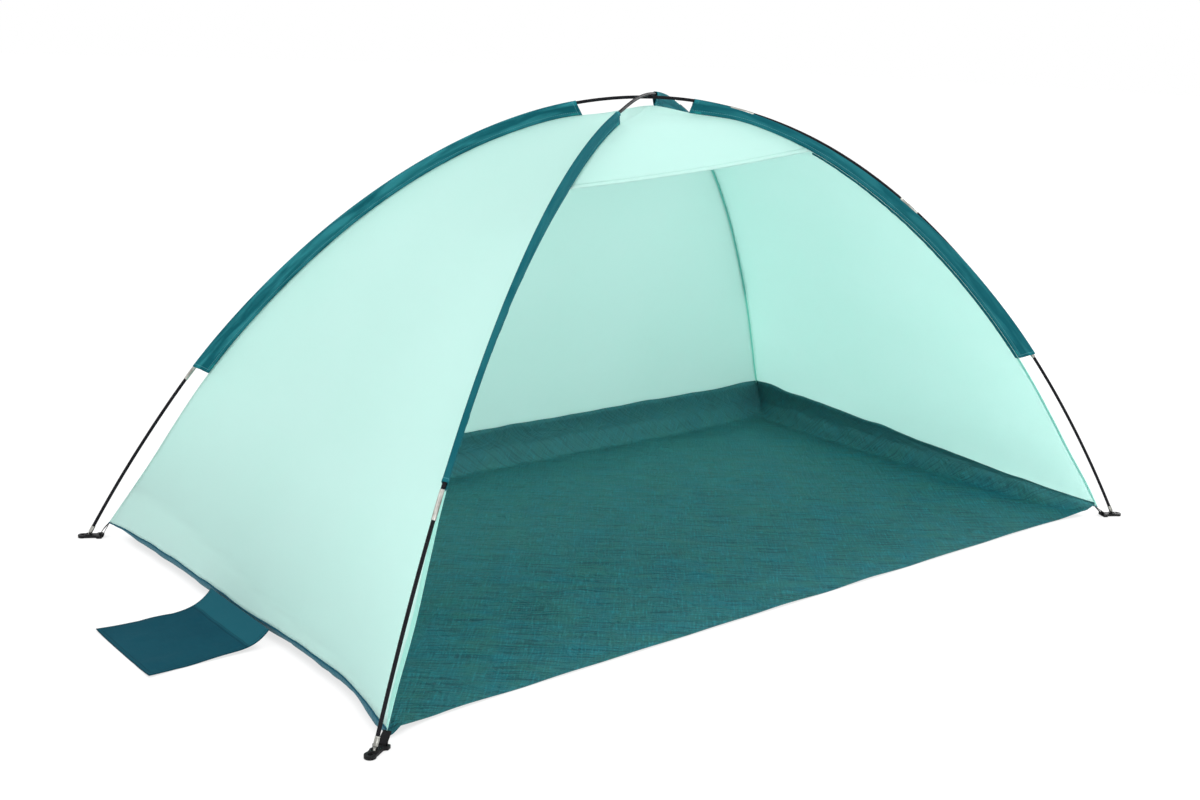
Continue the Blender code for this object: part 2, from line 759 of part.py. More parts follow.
def closed_curve(points, steps):
    # A smooth closed line through the points, as evenly spaced places along it
    count = len(points)
    fine = []
    for number in range(count):
        before, start, end, after = (Vector(points[(number + shift) % count]) for shift in (-1, 0, 1, 2))
        for step in range(8):
            part = step / 8
            lead = (end - before) / 2
            trail = (after - start) / 2
            fine.append(
                start * (2 * part ** 3 - 3 * part ** 2 + 1)
                + lead * (part ** 3 - 2 * part ** 2 + part)
                + end * (3 * part ** 2 - 2 * part ** 3)
                + trail * (part ** 3 - part ** 2)
            )
    fine.append(fine[0])
    lengths = [0.0]
    for start, end in zip(fine, fine[1:]):
        lengths.append(lengths[-1] + (end - start).length)
    places = []
    number = 0
    for step in range(steps):
        wanted = lengths[-1] * step / steps
        while lengths[number + 1] < wanted:
            number += 1
        part = (wanted - lengths[number]) / (lengths[number + 1] - lengths[number])
        places.append(fine[number].lerp(fine[number + 1], part))
    return places


def add_webbing(corner, places):
    seat = upright(corner, ARCHES[corner].at(0))
    turn = Matrix.Rotation(atan2(seat.y, seat.x), 4, "Z")

    def place(column, row):
        flat = places[row % len(places)]
        across = WEBBING_WIDTH * (column - 1 / 2)
        return turn @ Vector((flat.x, across, flat.y)) + Vector((seat.x, seat.y, 0))

    add_sheet(f"{corner}_webbing_loop", 1, len(places), place, WEBBING, "black_webbing", closed=True)


def add_flap(name, side):
    hinge_x = half_length_at(FLAP_CENTRE / HALF_DEPTH) + FLAP_HINGE_OFFSET
    hinge_z = corner_height(FLAP_CENTRE / HALF_DEPTH) + EDGE_RISE
    outs = [FLAP_LANDING * step / FLAP_ROWS for step in range(FLAP_ROWS)]
    outs += [FLAP_LANDING + (FLAP_LENGTH - FLAP_LANDING) * step / 4 for step in range(5)]

    def place(column, row):
        across = 2 * column / FLAP_COLUMNS - 1
        slope = max(0, 1 - outs[row] / FLAP_LANDING) ** 2
        corner = abs(across) ** 4 * (outs[row] / FLAP_LENGTH) ** 6
        rest = FLAP_CLOTH / 2 - hinge_z
        height = rest - rest * slope + FLAP_UPTURN * corner
        return Vector((side * outs[row], across * FLAP_WIDTH / 2, height))

    flap = add_sheet(name, FLAP_COLUMNS, len(outs) - 1, place, FLAP_CLOTH, "flap_cloth")
    flap.location = (side * hinge_x, FLAP_CENTRE, hinge_z)


for leftover in list(bpy.data.objects):
    bpy.data.objects.remove(leftover)

tent = new_collection("beach_tent")
guides = new_collection("cutters")
materials = {name: make_material(name) for name in MATERIALS}

add_floor()
for wall in WALLS:
    add_wall(wall)
add_visor()
for corner in CORNERS:
    add_sleeve(corner)
add_pole("lower", lower_arch, "back_left", BACK_LEFT_END_SECTION, FRONT_RIGHT_END_SECTION)
add_pole("upper", upper_arch, "front_left", FRONT_LEFT_END_SECTION, BACK_RIGHT_END_SECTION)
shared_tip = tip_mesh()
shared_foot = foot_mesh()
for corner in CORNERS:
    add_tip(corner, shared_tip)
    add_foot(corner, shared_foot)
    add_webbing(corner, closed_curve(webbing_path(corner_height(CORNERS[corner][1])), LOOP_POINTS))
add_flap("left_sand_flap", -1)
add_flap("right_sand_flap", 1)
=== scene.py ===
from bisect import bisect_right
import json
import math

import bmesh
import bpy
from mathutils import Matrix, Vector, noise
import numpy as np

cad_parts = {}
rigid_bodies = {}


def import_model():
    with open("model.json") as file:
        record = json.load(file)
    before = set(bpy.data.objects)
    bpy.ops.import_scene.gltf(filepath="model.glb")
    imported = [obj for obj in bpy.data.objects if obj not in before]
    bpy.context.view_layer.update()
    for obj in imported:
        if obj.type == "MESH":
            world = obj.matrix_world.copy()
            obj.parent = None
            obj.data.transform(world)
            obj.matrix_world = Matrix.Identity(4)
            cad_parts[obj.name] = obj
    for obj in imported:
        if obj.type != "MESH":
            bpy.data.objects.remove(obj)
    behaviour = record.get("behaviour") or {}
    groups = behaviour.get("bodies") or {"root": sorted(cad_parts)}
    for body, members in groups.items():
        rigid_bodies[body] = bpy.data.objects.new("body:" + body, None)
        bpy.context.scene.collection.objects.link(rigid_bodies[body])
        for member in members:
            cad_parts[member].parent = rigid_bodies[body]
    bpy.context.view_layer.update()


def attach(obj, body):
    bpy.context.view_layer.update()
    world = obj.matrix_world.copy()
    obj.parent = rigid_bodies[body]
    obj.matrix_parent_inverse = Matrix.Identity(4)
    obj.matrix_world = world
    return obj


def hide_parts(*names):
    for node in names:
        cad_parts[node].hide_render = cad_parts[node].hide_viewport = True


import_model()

corners = {"front_left": (-1, -1), "front_right": (1, -1), "back_left": (-1, 1), "back_right": (1, 1)}

# The lines that everything follows: bent poles and the seams under them

tentSizes = {
    "floorLength": 2.000,  # along the open front
    "floorDepth": 1.144,
    "crownHeight": 0.967,
    "footSetback": 0.0393,  # from the cloth's corner out to the pole's seat
    "seatHeight": 0.00605,
    "poleSpacing": 0.0073,  # between the two poles where they cross
    "poleSteps": 1600,
    "fallShares": {2: 0.9157, 4: 0.0066, 6: 0.0777},  # how a bent pole falls from the crown
    "sag": {  # how far the cloth draws each pole in, by the share of its length
        "lower": {
            0: 0, 0.09: 0.001, 0.137: 0.0085, 0.165: 0.0140, 0.20: 0.0140, 0.26: 0.0099, 0.30: 0.0088,
            0.345: 0.0056, 0.385: 0.0029, 0.43: 0.0007, 0.50: 0, 0.57: -0.0018, 0.63: -0.0062,
            0.70: -0.0096, 0.75: -0.0102, 0.81: -0.0052, 0.88: -0.0018, 1: 0},
        "upper": {
            0: 0, 0.14: 0.0018, 0.19: 0.0025, 0.26: 0.0038, 0.30: 0.0045, 0.345: 0.0070, 0.385: 0.0091,
            0.44: 0.0100, 0.46: 0.0045, 0.48: 0.0008, 0.51: 0, 0.53: 0.003, 0.56: 0.0062, 0.65: 0.0055,
            0.75: 0.0033, 0.90: 0.0007, 1: 0},
    },
    "smoothing": 30,  # steps of a pole either way
    "cornerHeights": (0.021, 0.030),  # of the cloth, in front and behind
    "stripRises": (0.018, 0.126),  # of the floor's turned-up edge, in front and behind
}
seamSizes = {
    "cornerDepth": 0.023,  # how far the sewn line lies below the pole
    "freeDepth": 0.036,
    "sleeveDepth": 0.029,
    "gapDepth": 0.034,
    "crownDepth": 0.021,
    "shifts": {"front_left": 0.013, "front_right": 0.005},  # the wall draws the front seams back
    "rises": {"front_right": 0.005},  # near the crown
    "risePlaces": (1.05, 1.25, 1.40),
    "visorReach": (0.495, 0.386),  # of its free edge from the crown, left and right
    "chords": 32,  # steps along a whole pole
}
sleeveSizes = {
    "spans": {
        "front_left": (0.424, 1.410), "front_right": (0.480, 1.500),
        "back_left": (0.445, 1.444), "back_right": (0.490, 1.576),
    },
    "slants": {  # how far each end runs on: low pole side, low seam side, then the same at the crown
        "front_left": (0.012, 0.003, -0.010, -0.004), "front_right": (0.002, 0.000, 0.008, 0.014),
        "back_left": (0.000, -0.004, -0.006, 0.003), "back_right": (0.000, 0.000, 0.008, 0.010),
    },
    "slantRun": 0.08,
    "pale": {  # painted light: how much paler each one is painted, for the light that falls on it
        "front_left": 0.0, "front_right": 0.20, "back_left": 0.60, "back_right": 0.30},
    "waves": ((0.0026, 0.085), (0.0014, 0.028), (0.0006, 0.009)),  # height and length: slack, puff, pull
    "round": 0.0047,  # half the width over the pole
    "fold": 0.0009,
    "rows": 170,
    "flat": 0.0006,  # how far each side stands off
    "flare": (0.0008, 0.010),  # at the ends: how wide, and over what run
    "pinch": (0.55, 0.03),  # the narrowing to the ends: its share, and its run
    "cloth": 0.0004,
}

halfLength = tentSizes["floorLength"] / 2
halfDepth = tentSizes["floorDepth"] / 2
cornerReach = math.hypot(halfLength, halfDepth)


def kept(value, low=0, high=1):
    return max(low, min(high, value))


def wobble(x, y, z):
    return noise.noise(Vector((x, y, z)))


def bentPole(crown, sag=None):
    share = np.linspace(1, -1, tentSizes["poleSteps"] + 1)
    fall = sum(part * share ** power for power, part in tentSizes["fallShares"].items())
    reach = (cornerReach + tentSizes["footSetback"]) * share
    height = tentSizes["seatHeight"] + (crown - tentSizes["seatHeight"]) * (1 - fall)
    run = np.concatenate([[0], np.cumsum(np.hypot(np.diff(reach), np.diff(height)))])
    if sag:
        near = tentSizes["smoothing"]
        window = 2 * near + 1
        pull = np.interp(run / run[-1], list(sag), list(sag.values()))
        pull = np.convolve(np.pad(pull, near, mode="edge"), np.ones(window) / window, mode="valid")
        climb = np.gradient(height, run), np.gradient(reach, run)
        reach, height = reach + climb[0] * pull, height + climb[1] * pull
    return {"run": run, "reach": reach, "height": height, "length": float(run[-1])}


def onPole(pole, distance):
    return Vector([np.interp(distance, pole["run"], pole[name]) for name in ("reach", "height")])


def upright(corner, point):
    side, end = corners[corner]
    x, y = side * halfLength / cornerReach * point.x, end * halfDepth / cornerReach * point.x
    return Vector((x, y, point.y))


def alongPole(corner, run, step):
    pole = poleOf[corner]
    ahead, behind = onPole(pole, run + step), onPole(pole, max(run - step, 0))
    return (upright(corner, ahead) - upright(corner, behind)).normalized()


def hermite(t, start, end, leaving, arriving):
    # A smooth way between two points, from its directions at both
    return (start * (2 * t ** 3 - 3 * t ** 2 + 1) + leaving * (t ** 3 - 2 * t ** 2 + t)
            + end * (3 * t ** 2 - 2 * t ** 3) + arriving * (t ** 3 - t ** 2))


def smoothLine(stops, points):
    # A smooth curve through the points, read by the distance along it
    slopes = []
    for number in range(len(points)):
        low, high = max(number - 1, 0), min(number + 1, len(points) - 1)
        slopes.append((points[high] - points[low]) / (stops[high] - stops[low]))

    def at(distance):
        low = kept(bisect_right(stops, distance) - 1, 0, len(stops) - 2)
        high, span = low + 1, stops[low + 1] - stops[low]
        t = (distance - stops[low]) / span
        return hermite(t, points[low], points[high], slopes[low] * span, slopes[high] * span)
    return at


crown, spacing = tentSizes["crownHeight"], tentSizes["poleSpacing"]
meanPole = bentPole(crown)
lowerPole = bentPole(crown - spacing / 2, tentSizes["sag"]["lower"])
upperPole = bentPole(crown + spacing / 2, tentSizes["sag"]["upper"])
poleOf = {"front_left": upperPole, "back_right": upperPole, "back_left": lowerPole, "front_right": lowerPole}
halfArc = meanPole["length"] / 2
chord = meanPole["length"] / seamSizes["chords"]
leftReach, rightReach = seamSizes["visorReach"]


def cornerHeight(b):
    # b runs from the front, -1, to the back, 1, as a runs from left to right
    front, back = tentSizes["cornerHeights"]
    return front + (back - front) * (b + 1) / 2


def seamDepth(distance):
    start, end = sleeveSizes["spans"]["back_left"]
    places = (0, start / 2, start, end, (end + halfArc) / 2, halfArc)
    names = ("cornerDepth", "freeDepth", "sleeveDepth", "sleeveDepth", "gapDepth", "crownDepth")
    return float(np.interp(distance, places, [seamSizes[name] for name in names]))


def seamShift(corner, distance):
    start = sleeveSizes["spans"]["front_left"][0]
    visor = halfArc - leftReach
    pull = np.interp(distance, (0, start / 2, start, (start + visor) / 2, visor, halfArc), (0, 0, 1, 1, 0, 0))
    return seamSizes["shifts"].get(corner, 0) * float(pull)


def seamRise(corner, distance):
    pull = np.interp(distance, (*seamSizes["risePlaces"], halfArc), (0, 1, 1, 0))
    return seamSizes["rises"].get(corner, 0) * float(pull)


middleRise = cornerHeight(0) - tentSizes["seatHeight"]
seamStart = tentSizes["footSetback"] * middleRise / math.hypot(tentSizes["footSetback"], middleRise)


def seamLine(corner):
    stops = [seamStart]
    points = [upright(corner, Vector((cornerReach, cornerHeight(corners[corner][1]))))]
    for number in range(1, seamSizes["chords"] // 2 + 2):
        run = number * chord
        tangent = (onPole(meanPole, run + chord) - onPole(meanPole, run - chord)).normalized()
        depth = seamDepth(run) - seamRise(corner, run)
        place = upright(corner, onPole(meanPole, run) - Vector((tangent.y, -tangent.x)) * depth)
        place.y += seamShift(corner, run)
        stops.append(run)
        points.append(place)
    return smoothLine(stops, points)


seams = {corner: seamLine(corner) for corner in corners}
print("lines ready: pole length", round(meanPole["length"], 4))

# Cloth made from grids


def meshFrom(name, work):
    mesh = bpy.data.meshes.new(name)
    work.to_mesh(mesh)
    work.free()
    return mesh


def linked(name, data):
    item = bpy.data.objects.new(name, data)
    bpy.context.scene.collection.objects.link(item)
    return item


def clothMesh(name, columns, rows, place, size=(1, 1), closed=False, marks=None, flat=None):
    # A grid placed by a rule, with its UV in metres; marks are measures kept on its points
    grid = bmesh.new()
    bmesh.ops.create_grid(grid, x_segments=columns, y_segments=rows, size=1)
    uv = grid.loops.layers.uv.new("cloth")
    layers = {mark: grid.verts.layers.float.new(mark) for mark in marks or {}}
    where = {}
    for vert in grid.verts:
        where[vert] = (round((vert.co.x + 1) / 2 * columns), round((vert.co.y + 1) / 2 * rows))
    for vert, spot in where.items():
        vert.co = place(*spot)
        for mark, layer in layers.items():
            vert[layer] = marks[mark](*spot)
    for face in grid.faces:
        for loop in face.loops:
            column, row = where[loop.vert]
            loop[uv].uv = flat(column, row) if flat else (column / columns * size[0], row / rows * size[1])
    bmesh.ops.remove_doubles(grid, verts=grid.verts, dist=0.00001)
    if closed:
        bmesh.ops.recalc_face_normals(grid, faces=grid.faces)
    area = sum(face.calc_area() for face in grid.faces)
    mesh = meshFrom(name, grid)
    mesh.shade_smooth()
    return mesh, area


def addPiece(name, mesh, material, body, nodes=(), thickness=0, offset=0):
    item = linked(name, mesh)
    mesh.materials.clear()
    mesh.materials.append(material)
    if thickness:
        solid = item.modifiers.new("thickness", "SOLIDIFY")
        solid.thickness = thickness
        solid.offset = offset
    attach(item, body)
    if nodes:
        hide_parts(*nodes)
    return item


# Small helpers for materials, and the shared weave, clouds and stitches


def node(tree, kind, inputs=None, **settings):
    made = tree.nodes.new(kind)
    for name, value in settings.items():
        setattr(made, name, value)
    for name, value in (inputs or {}).items():
        if isinstance(value, bpy.types.NodeSocket):
            tree.links.new(value, made.inputs[name])
        else:
            made.inputs[name].default_value = value
    return made


def calc(tree, operation, first, second=0.0, third=0.0, clamp=False):
    inputs = {0: first, 1: second, 2: third}
    return node(tree, "ShaderNodeMath", inputs, operation=operation, use_clamp=clamp).outputs[0]


def times(tree, first, second):
    return calc(tree, "MULTIPLY", first, second)


def ramp(tree, value, slope, start, clamp=True):
    return calc(tree, "MULTIPLY_ADD", value, slope, start, clamp=clamp)


def less(tree, first, second, clamp=False):
    return calc(tree, "SUBTRACT", first, second, clamp=clamp)


def rgba(colour):
    return (*colour, 1.0)


def blendColour(tree, share, first, second):
    first, second = (rgba(colour) if isinstance(colour, tuple) else colour for colour in (first, second))
    return node(tree, "ShaderNodeMix", {0: share, 6: first, 7: second}, data_type="RGBA").outputs[2]


def tint(tree, colour, mask, share, tone):
    return blendColour(tree, times(tree, mask, share), colour, tone)


def noiseOf(tree, place, scale, detail, roughness=0.5, distortion=0.0):
    inputs = {"Vector": place, "Scale": scale, "Detail": detail}
    inputs.update({"Roughness": roughness, "Distortion": distortion})
    return node(tree, "ShaderNodeTexNoise", inputs).outputs[0]


def split(tree, vector):
    return node(tree, "ShaderNodeSeparateXYZ", {0: vector}).outputs


def joined(tree, x, y, z):
    return node(tree, "ShaderNodeCombineXYZ", {0: x, 1: y, 2: z}).outputs[0]


def uvOf(tree):
    return node(tree, "ShaderNodeUVMap", uv_map="cloth").outputs[0]


def objectPlace(tree):
    return node(tree, "ShaderNodeTexCoord").outputs["Object"]


def mark(tree, name):
    return node(tree, "ShaderNodeAttribute", attribute_name=name).outputs["Fac"]


def newGroup(name, inputs, outputs):
    group = bpy.data.node_groups.new(name, "ShaderNodeTree")
    for way, titles in (("INPUT", inputs), ("OUTPUT", outputs)):
        for title in titles:
            kind = "NodeSocketVector" if title == "Vector" else "NodeSocketFloat"
            group.interface.new_socket(name=title, in_out=way, socket_type=kind)
    return group, node(group, "NodeGroupInput").outputs, node(group, "NodeGroupOutput").inputs


def weaveGroup():
    # Plain weave: threads over and under each other, with slubs along both ways
    given = ("Vector", "Threads", "Slub Length", "Slub Width")
    group, given, out = newGroup("weave", given, ("Height", "Slub", "Weft"))
    parts = split(group, given["Vector"])
    waves, streaks = [], []
    for axis in (0, 1):
        turn = times(group, times(group, parts[axis], given["Threads"]), math.pi)
        waves.append(calc(group, "SINE", turn))
        along = calc(group, "DIVIDE", parts[axis], given["Slub Length"])
        across = calc(group, "DIVIDE", parts[1 - axis], given["Slub Width"])
        streaks.append(noiseOf(group, joined(group, along, across, float(axis * 7)), 1.0, 2.0))
    slub = times(group, calc(group, "ADD", *streaks), 0.5)
    weft = calc(group, "ADD", times(group, streaks[0], 0.8), times(group, streaks[1], 0.2))
    results = {"Height": ramp(group, times(group, *waves), 0.5, 0.5, False), "Slub": slub, "Weft": weft}
    for title, value in results.items():
        group.links.new(value, out[title])
    return group


def cloudGroup():
    # Soft unevenness of dye, dust and handling, about 0.5
    group, given, out = newGroup("clouds", ("Vector", "Size"), ("Value",))
    scale = calc(group, "DIVIDE", 1.0, given["Size"])
    group.links.new(noiseOf(group, given["Vector"], scale, 3.0, 0.55), out["Value"])
    return group


def stitchGroup():
    # A row of stitches at a distance from an edge; Run is the measure along the row
    given = ("Distance", "Row", "Run", "Width", "Length")
    group, given, out = newGroup("stitches", given, ("Mask", "Groove"))
    off = calc(group, "ABSOLUTE", less(group, given["Distance"], given["Row"]))
    near = less(group, 1.0, calc(group, "DIVIDE", off, given["Width"]), True)
    dash = calc(group, "PINGPONG", calc(group, "DIVIDE", given["Run"], given["Length"]), 0.5)
    group.links.new(times(group, near, calc(group, "GREATER_THAN", dash, 0.12)), out["Mask"])
    wide = less(group, 1.0, calc(group, "DIVIDE", off, times(group, given["Width"], 4.0)), True)
    group.links.new(wide, out["Groove"])
    return group


weave, clouds, stitches = weaveGroup(), cloudGroup(), stitchGroup()


def wovenOf(tree, vector, threads, length, width):
    inputs = {"Vector": vector, "Threads": threads, "Slub Length": length, "Slub Width": width}
    return node(tree, "ShaderNodeGroup", inputs, node_tree=weave).outputs


def cloudOf(tree, place, size):
    return node(tree, "ShaderNodeGroup", {"Vector": place, "Size": size}, node_tree=clouds).outputs[0]


def stitchOf(tree, distance, row, run, width, length):
    inputs = {"Distance": distance, "Row": row, "Run": run, "Width": width, "Length": length}
    return node(tree, "ShaderNodeGroup", inputs, node_tree=stitches).outputs


def newMaterial(name, seen=(0.8, 0.8, 0.8)):
    material = bpy.data.materials.new(name)
    material.use_nodes = True
    material.diffuse_color = rgba(seen)
    return material, material.node_tree, material.node_tree.nodes["Principled BSDF"]


def dress(tree, shader, colour, rough, height, shine, strength=0.8):
    bump = node(tree, "ShaderNodeBump", {"Height": height, "Strength": strength, "Distance": 1.0}).outputs[0]
    for title, value in (("Base Color", colour), ("Roughness", rough), ("Normal", bump)):
        tree.links.new(value, shader.inputs[title])
    shader.inputs["Specular IOR Level"].default_value = shine
    return bump


# Materials

clothLooks = {  # colour, its deeper tone, roughness, shine, share of light let through, threads to the metre
    "mintCloth": ((0.755, 0.985, 0.94), (0.725, 0.975, 0.92), 0.62, 0.35, 0.52, 1700),
    "mintHem": ((0.74, 0.985, 0.94), (0.71, 0.975, 0.92), 0.60, 0.35, 0.46, 1700),
    "edgeHem": ((0.58, 0.975, 0.90), (0.50, 0.95, 0.86), 0.60, 0.35, 0.46, 1700),
    "mintAllowance": ((0.40, 0.96, 0.86), (0.34, 0.92, 0.81), 0.65, 0.3, 0.45, 1700),
    "tealCloth": ((0.016, 0.138, 0.162), (0.010, 0.106, 0.126), 0.75, 0.03, 0.0, 1500),
    "bindingCloth": ((0.010, 0.085, 0.130), (0.006, 0.066, 0.100), 0.7, 0.06, 0.0, 1500),
    "flapCloth": ((0.006, 0.068, 0.098), (0.004, 0.050, 0.076), 0.7, 0.04, 0.0, 1500),
}
shadedAllowance = ((0.30, 0.80, 0.72), (0.22, 0.72, 0.65))  # where a sleeve outside takes the light away
# Painted shade for the foot of the walls outside
footShadeColour = (0.650, 0.865, 0.825)
passedColour = (0.88, 0.975, 0.96)  # what light takes on in the mint cloth
sleeveHem = 0.0085


def clothMaterial(name, rows=(), thread=(0.8, 0.9, 0.88), wrinkle=0.0004):
    # rows are lines of stitches: the mark that measures from the edge, and its distance
    base, deep, roughness, shine, through, threads = clothLooks[name]
    material, tree, shader = newMaterial(name, base)
    uv, place = uvOf(tree), objectPlace(tree)
    fine = wovenOf(tree, uv, threads, 0.03, 0.0012)
    uneven = calc(tree, "ADD", times(tree, fine["Slub"], 0.8), times(tree, cloudOf(tree, place, 0.22), 0.9))
    tone = ramp(tree, uneven, 1.8, -1.03)
    colour = blendColour(tree, tone, base, deep)
    height = times(tree, fine["Height"], 0.00008)
    if name == "mintCloth":
        # Painted shade: the foot of a wall is painted darker outside, down to where the floor's edge stands
        # behind it
        normal = node(tree, "ShaderNodeNewGeometry").outputs["True Normal"]
        facing = node(tree, "ShaderNodeVectorMath", {0: normal, 1: place}, operation="DOT_PRODUCT").outputs
        paintedFootShade = times(tree, mark(tree, "low"), calc(tree, "GREATER_THAN", facing["Value"], 0.0))
        colour = tint(tree, colour, paintedFootShade, 0.85, footShadeColour)
    if name == "mintAllowance":
        colour = blendColour(tree, mark(tree, "shaded"), colour, blendColour(tree, tone, *shadedAllowance))
    if name == "flapCloth":
        double = calc(tree, "LESS_THAN", mark(tree, "root"), 0.038)
        rim = calc(tree, "LESS_THAN", mark(tree, "rim"), 0.0022)
        colour = tint(tree, colour, double, 0.8, (0.012, 0.100, 0.132))
        colour = tint(tree, colour, rim, 0.6, (0.002, 0.030, 0.045))
        height = calc(tree, "MULTIPLY_ADD", double, 0.0007, height)
    if name == "tealCloth":
        colour, height = sleeveLook(tree, colour, height)
    for edge, distance in rows:
        line = stitchOf(tree, mark(tree, edge), distance, split(tree, uv)[1], 0.0007, 0.0045)
        colour = blendColour(tree, line["Mask"], colour, thread)
        for title, depth in (("Mask", 0.0004), ("Groove", -0.0006)):
            height = calc(tree, "MULTIPLY_ADD", line[title], depth, height)
    height = calc(tree, "MULTIPLY_ADD", noiseOf(tree, place, 24.0, 4.0, 0.5, 0.8), wrinkle, height)
    rough = ramp(tree, fine["Slub"], 0.2, roughness - 0.1, False)
    bump = dress(tree, shader, colour, rough, height, shine)
    if through:
        shader.inputs["Sheen Weight"].default_value = 0.05
        shader.inputs["Sheen Roughness"].default_value = 0.4
        passed = blendColour(tree, 0.35, colour, passedColour)
        glow = node(tree, "ShaderNodeBsdfTranslucent", {"Color": passed, "Normal": bump}).outputs[0]
        both = node(tree, "ShaderNodeMixShader", {0: through, 1: shader.outputs[0], 2: glow}).outputs[0]
        tree.links.new(both, tree.nodes["Material Output"].inputs["Surface"])
    return material


def sleeveLook(tree, colour, height):
    # Hemmed ends, a lighter lining showing in each, painted light by each sleeve's pale mark, and long soft
    # wrinkles where it is pulled, with painted shade in their hollows
    toEnd, drop = mark(tree, "end"), mark(tree, "drop")
    # Painted light: each sleeve is blended toward a paler teal by its pale mark
    colour = blendColour(tree, mark(tree, "pale"), colour, (0.038, 0.262, 0.300))
    hemmed = calc(tree, "LESS_THAN", toEnd, sleeveHem)
    lining = ramp(tree, drop, -0.75, sleeveHem + 0.0165, False)
    inside = times(tree, calc(tree, "GREATER_THAN", toEnd, 0.0098), calc(tree, "LESS_THAN", toEnd, lining))
    edge = calc(tree, "LESS_THAN", calc(tree, "ABSOLUTE", less(tree, toEnd, 0.0088)), 0.0007)
    for mask, share, tone in (
            (hemmed, 0.55, (0.012, 0.190, 0.225)), (inside, 0.75, (0.030, 0.330, 0.310)),
            (edge, 0.5, (0.06, 0.30, 0.33))):
        colour = tint(tree, colour, mask, share, tone)
    height = calc(tree, "MULTIPLY_ADD", hemmed, 0.0009, height)
    aslant = calc(tree, "MULTIPLY_ADD", toEnd, 9.0, times(tree, drop, 22.0))
    tug = noiseOf(tree, joined(tree, times(tree, drop, 70.0), aslant, 1.0), 1.0, 3.0, 0.5, 0.6)
    # Painted shade: the wrinkles' hollows, where tug is low, are painted a darker teal
    colour = blendColour(tree, ramp(tree, tug, 4.0, -1.6), (0.007, 0.098, 0.122), colour)
    return colour, calc(tree, "MULTIPLY_ADD", tug, 0.0022, height)


floorLooks = {
    "grain": 40,  # degrees from the tent's length to the weave
    "threads": {"dash": (430, 0.13, 0.0056), "fleck": (900, 0.040, 0.0038), "band": (210, 0.22, 0.050)},
    "blueWarp": (0.010, 0.132, 0.165),
    "greenWarp": (0.020, 0.136, 0.132),
    "darkWeft": (0.006, 0.060, 0.074),
    "hem": 0.014,
}


def floorMaterial():
    # Woven sheet: dark weft dashes over blue and green warp, creased where it was folded, painted lighter
    # toward the back and up its turned-up edge where the walls shade it
    material, tree, shader = newMaterial("floorCloth", (0.02, 0.13, 0.15))
    uv, place = uvOf(tree), objectPlace(tree)
    turn = (0.0, 0.0, math.radians(floorLooks["grain"]))
    turned = node(tree, "ShaderNodeMapping", {"Vector": uv, "Rotation": turn}, vector_type="POINT").outputs[0]
    woven = {title: wovenOf(tree, turned, *looks) for title, looks in floorLooks["threads"].items()}
    hue = ramp(tree, woven["band"]["Slub"], 5.0, -2.0)
    colour = blendColour(tree, hue, floorLooks["blueWarp"], floorLooks["greenWarp"])
    pale = ramp(tree, cloudOf(tree, place, 0.45), 2.4, -0.9)
    colour = tint(tree, colour, pale, 0.45, (0.040, 0.165, 0.165))
    dash = ramp(tree, woven["dash"]["Weft"], 9.0, -3.5)
    colour = blendColour(tree, ramp(tree, dash, 0.92, 0.08, False), floorLooks["darkWeft"], colour)
    # Painted light: paler toward the back of the flat sheet, and paler up the turned-up edge, against the
    # walls' shade
    strip = mark(tree, "strip")
    paintedBackLight = ramp(tree, split(tree, place)[1], 1.5, 0.30)
    line = stitchOf(tree, mark(tree, "frontEdge"), floorLooks["hem"], split(tree, uv)[0], 0.0008, 0.006)
    for mask, share, tone in (
            (ramp(tree, woven["fleck"]["Slub"], 8.0, -4.2), 0.9, (0.022, 0.215, 0.250)),
            (ramp(tree, woven["fleck"]["Slub"], -8.0, 3.6), 0.8, (0.007, 0.070, 0.084)),
            (times(tree, paintedBackLight, less(tree, 1.0, strip, True)), 0.38, (0.085, 0.290, 0.290)),
            (strip, 0.50, (0.075, 0.270, 0.280)),
            (mark(tree, "skirt"), 0.86, (0.022, 0.125, 0.190)),
            (line["Mask"], 0.7, (0.02, 0.08, 0.10))):
        colour = tint(tree, colour, mask, share, tone)
    crease = noiseOf(tree, turned, 11.0, 5.0, 0.6, 1.2)
    fold = calc(tree, "ABSOLUTE", less(tree, crease, 0.5))
    height = times(tree, less(tree, 0.10, fold, True), 0.016)
    for value, depth in (
            (woven["dash"]["Slub"], 0.004), (woven["fleck"]["Slub"], 0.0016),
            (woven["dash"]["Height"], 0.00022), (line["Groove"], -0.0006)):
        height = calc(tree, "MULTIPLY_ADD", value, depth, height)
    dress(tree, shader, colour, ramp(tree, woven["dash"]["Slub"], 0.3, 0.45, False), height, 0.16)
    return material


def hardMaterial(name, colour, dark, rough, grain, depth=0.00002, size=0.01, shine=0.5, metallic=0.0):
    # Rods, metal and moulded plastic: grain stretches along the piece, wear is a soft cloud
    material, tree, shader = newMaterial(name, colour)
    spread = node(tree, "ShaderNodeMapping", {"Vector": uvOf(tree), "Scale": (*grain, 1.0)}).outputs[0]
    streak = noiseOf(tree, spread, 1.0, 3.0)
    worn = cloudOf(tree, objectPlace(tree), size)
    mixed = ramp(tree, calc(tree, "ADD", streak, worn), 1.6, -1.1)
    roughness = ramp(tree, mixed, -0.15, rough + 0.1, False)
    dress(tree, shader, blendColour(tree, mixed, dark, colour), roughness, times(tree, streak, depth), shine)
    shader.inputs["Metallic"].default_value = metallic
    return material


webbingLooks = {"ribWidth": 0.0016, "pickLength": 0.0011, "depth": 0.00022}


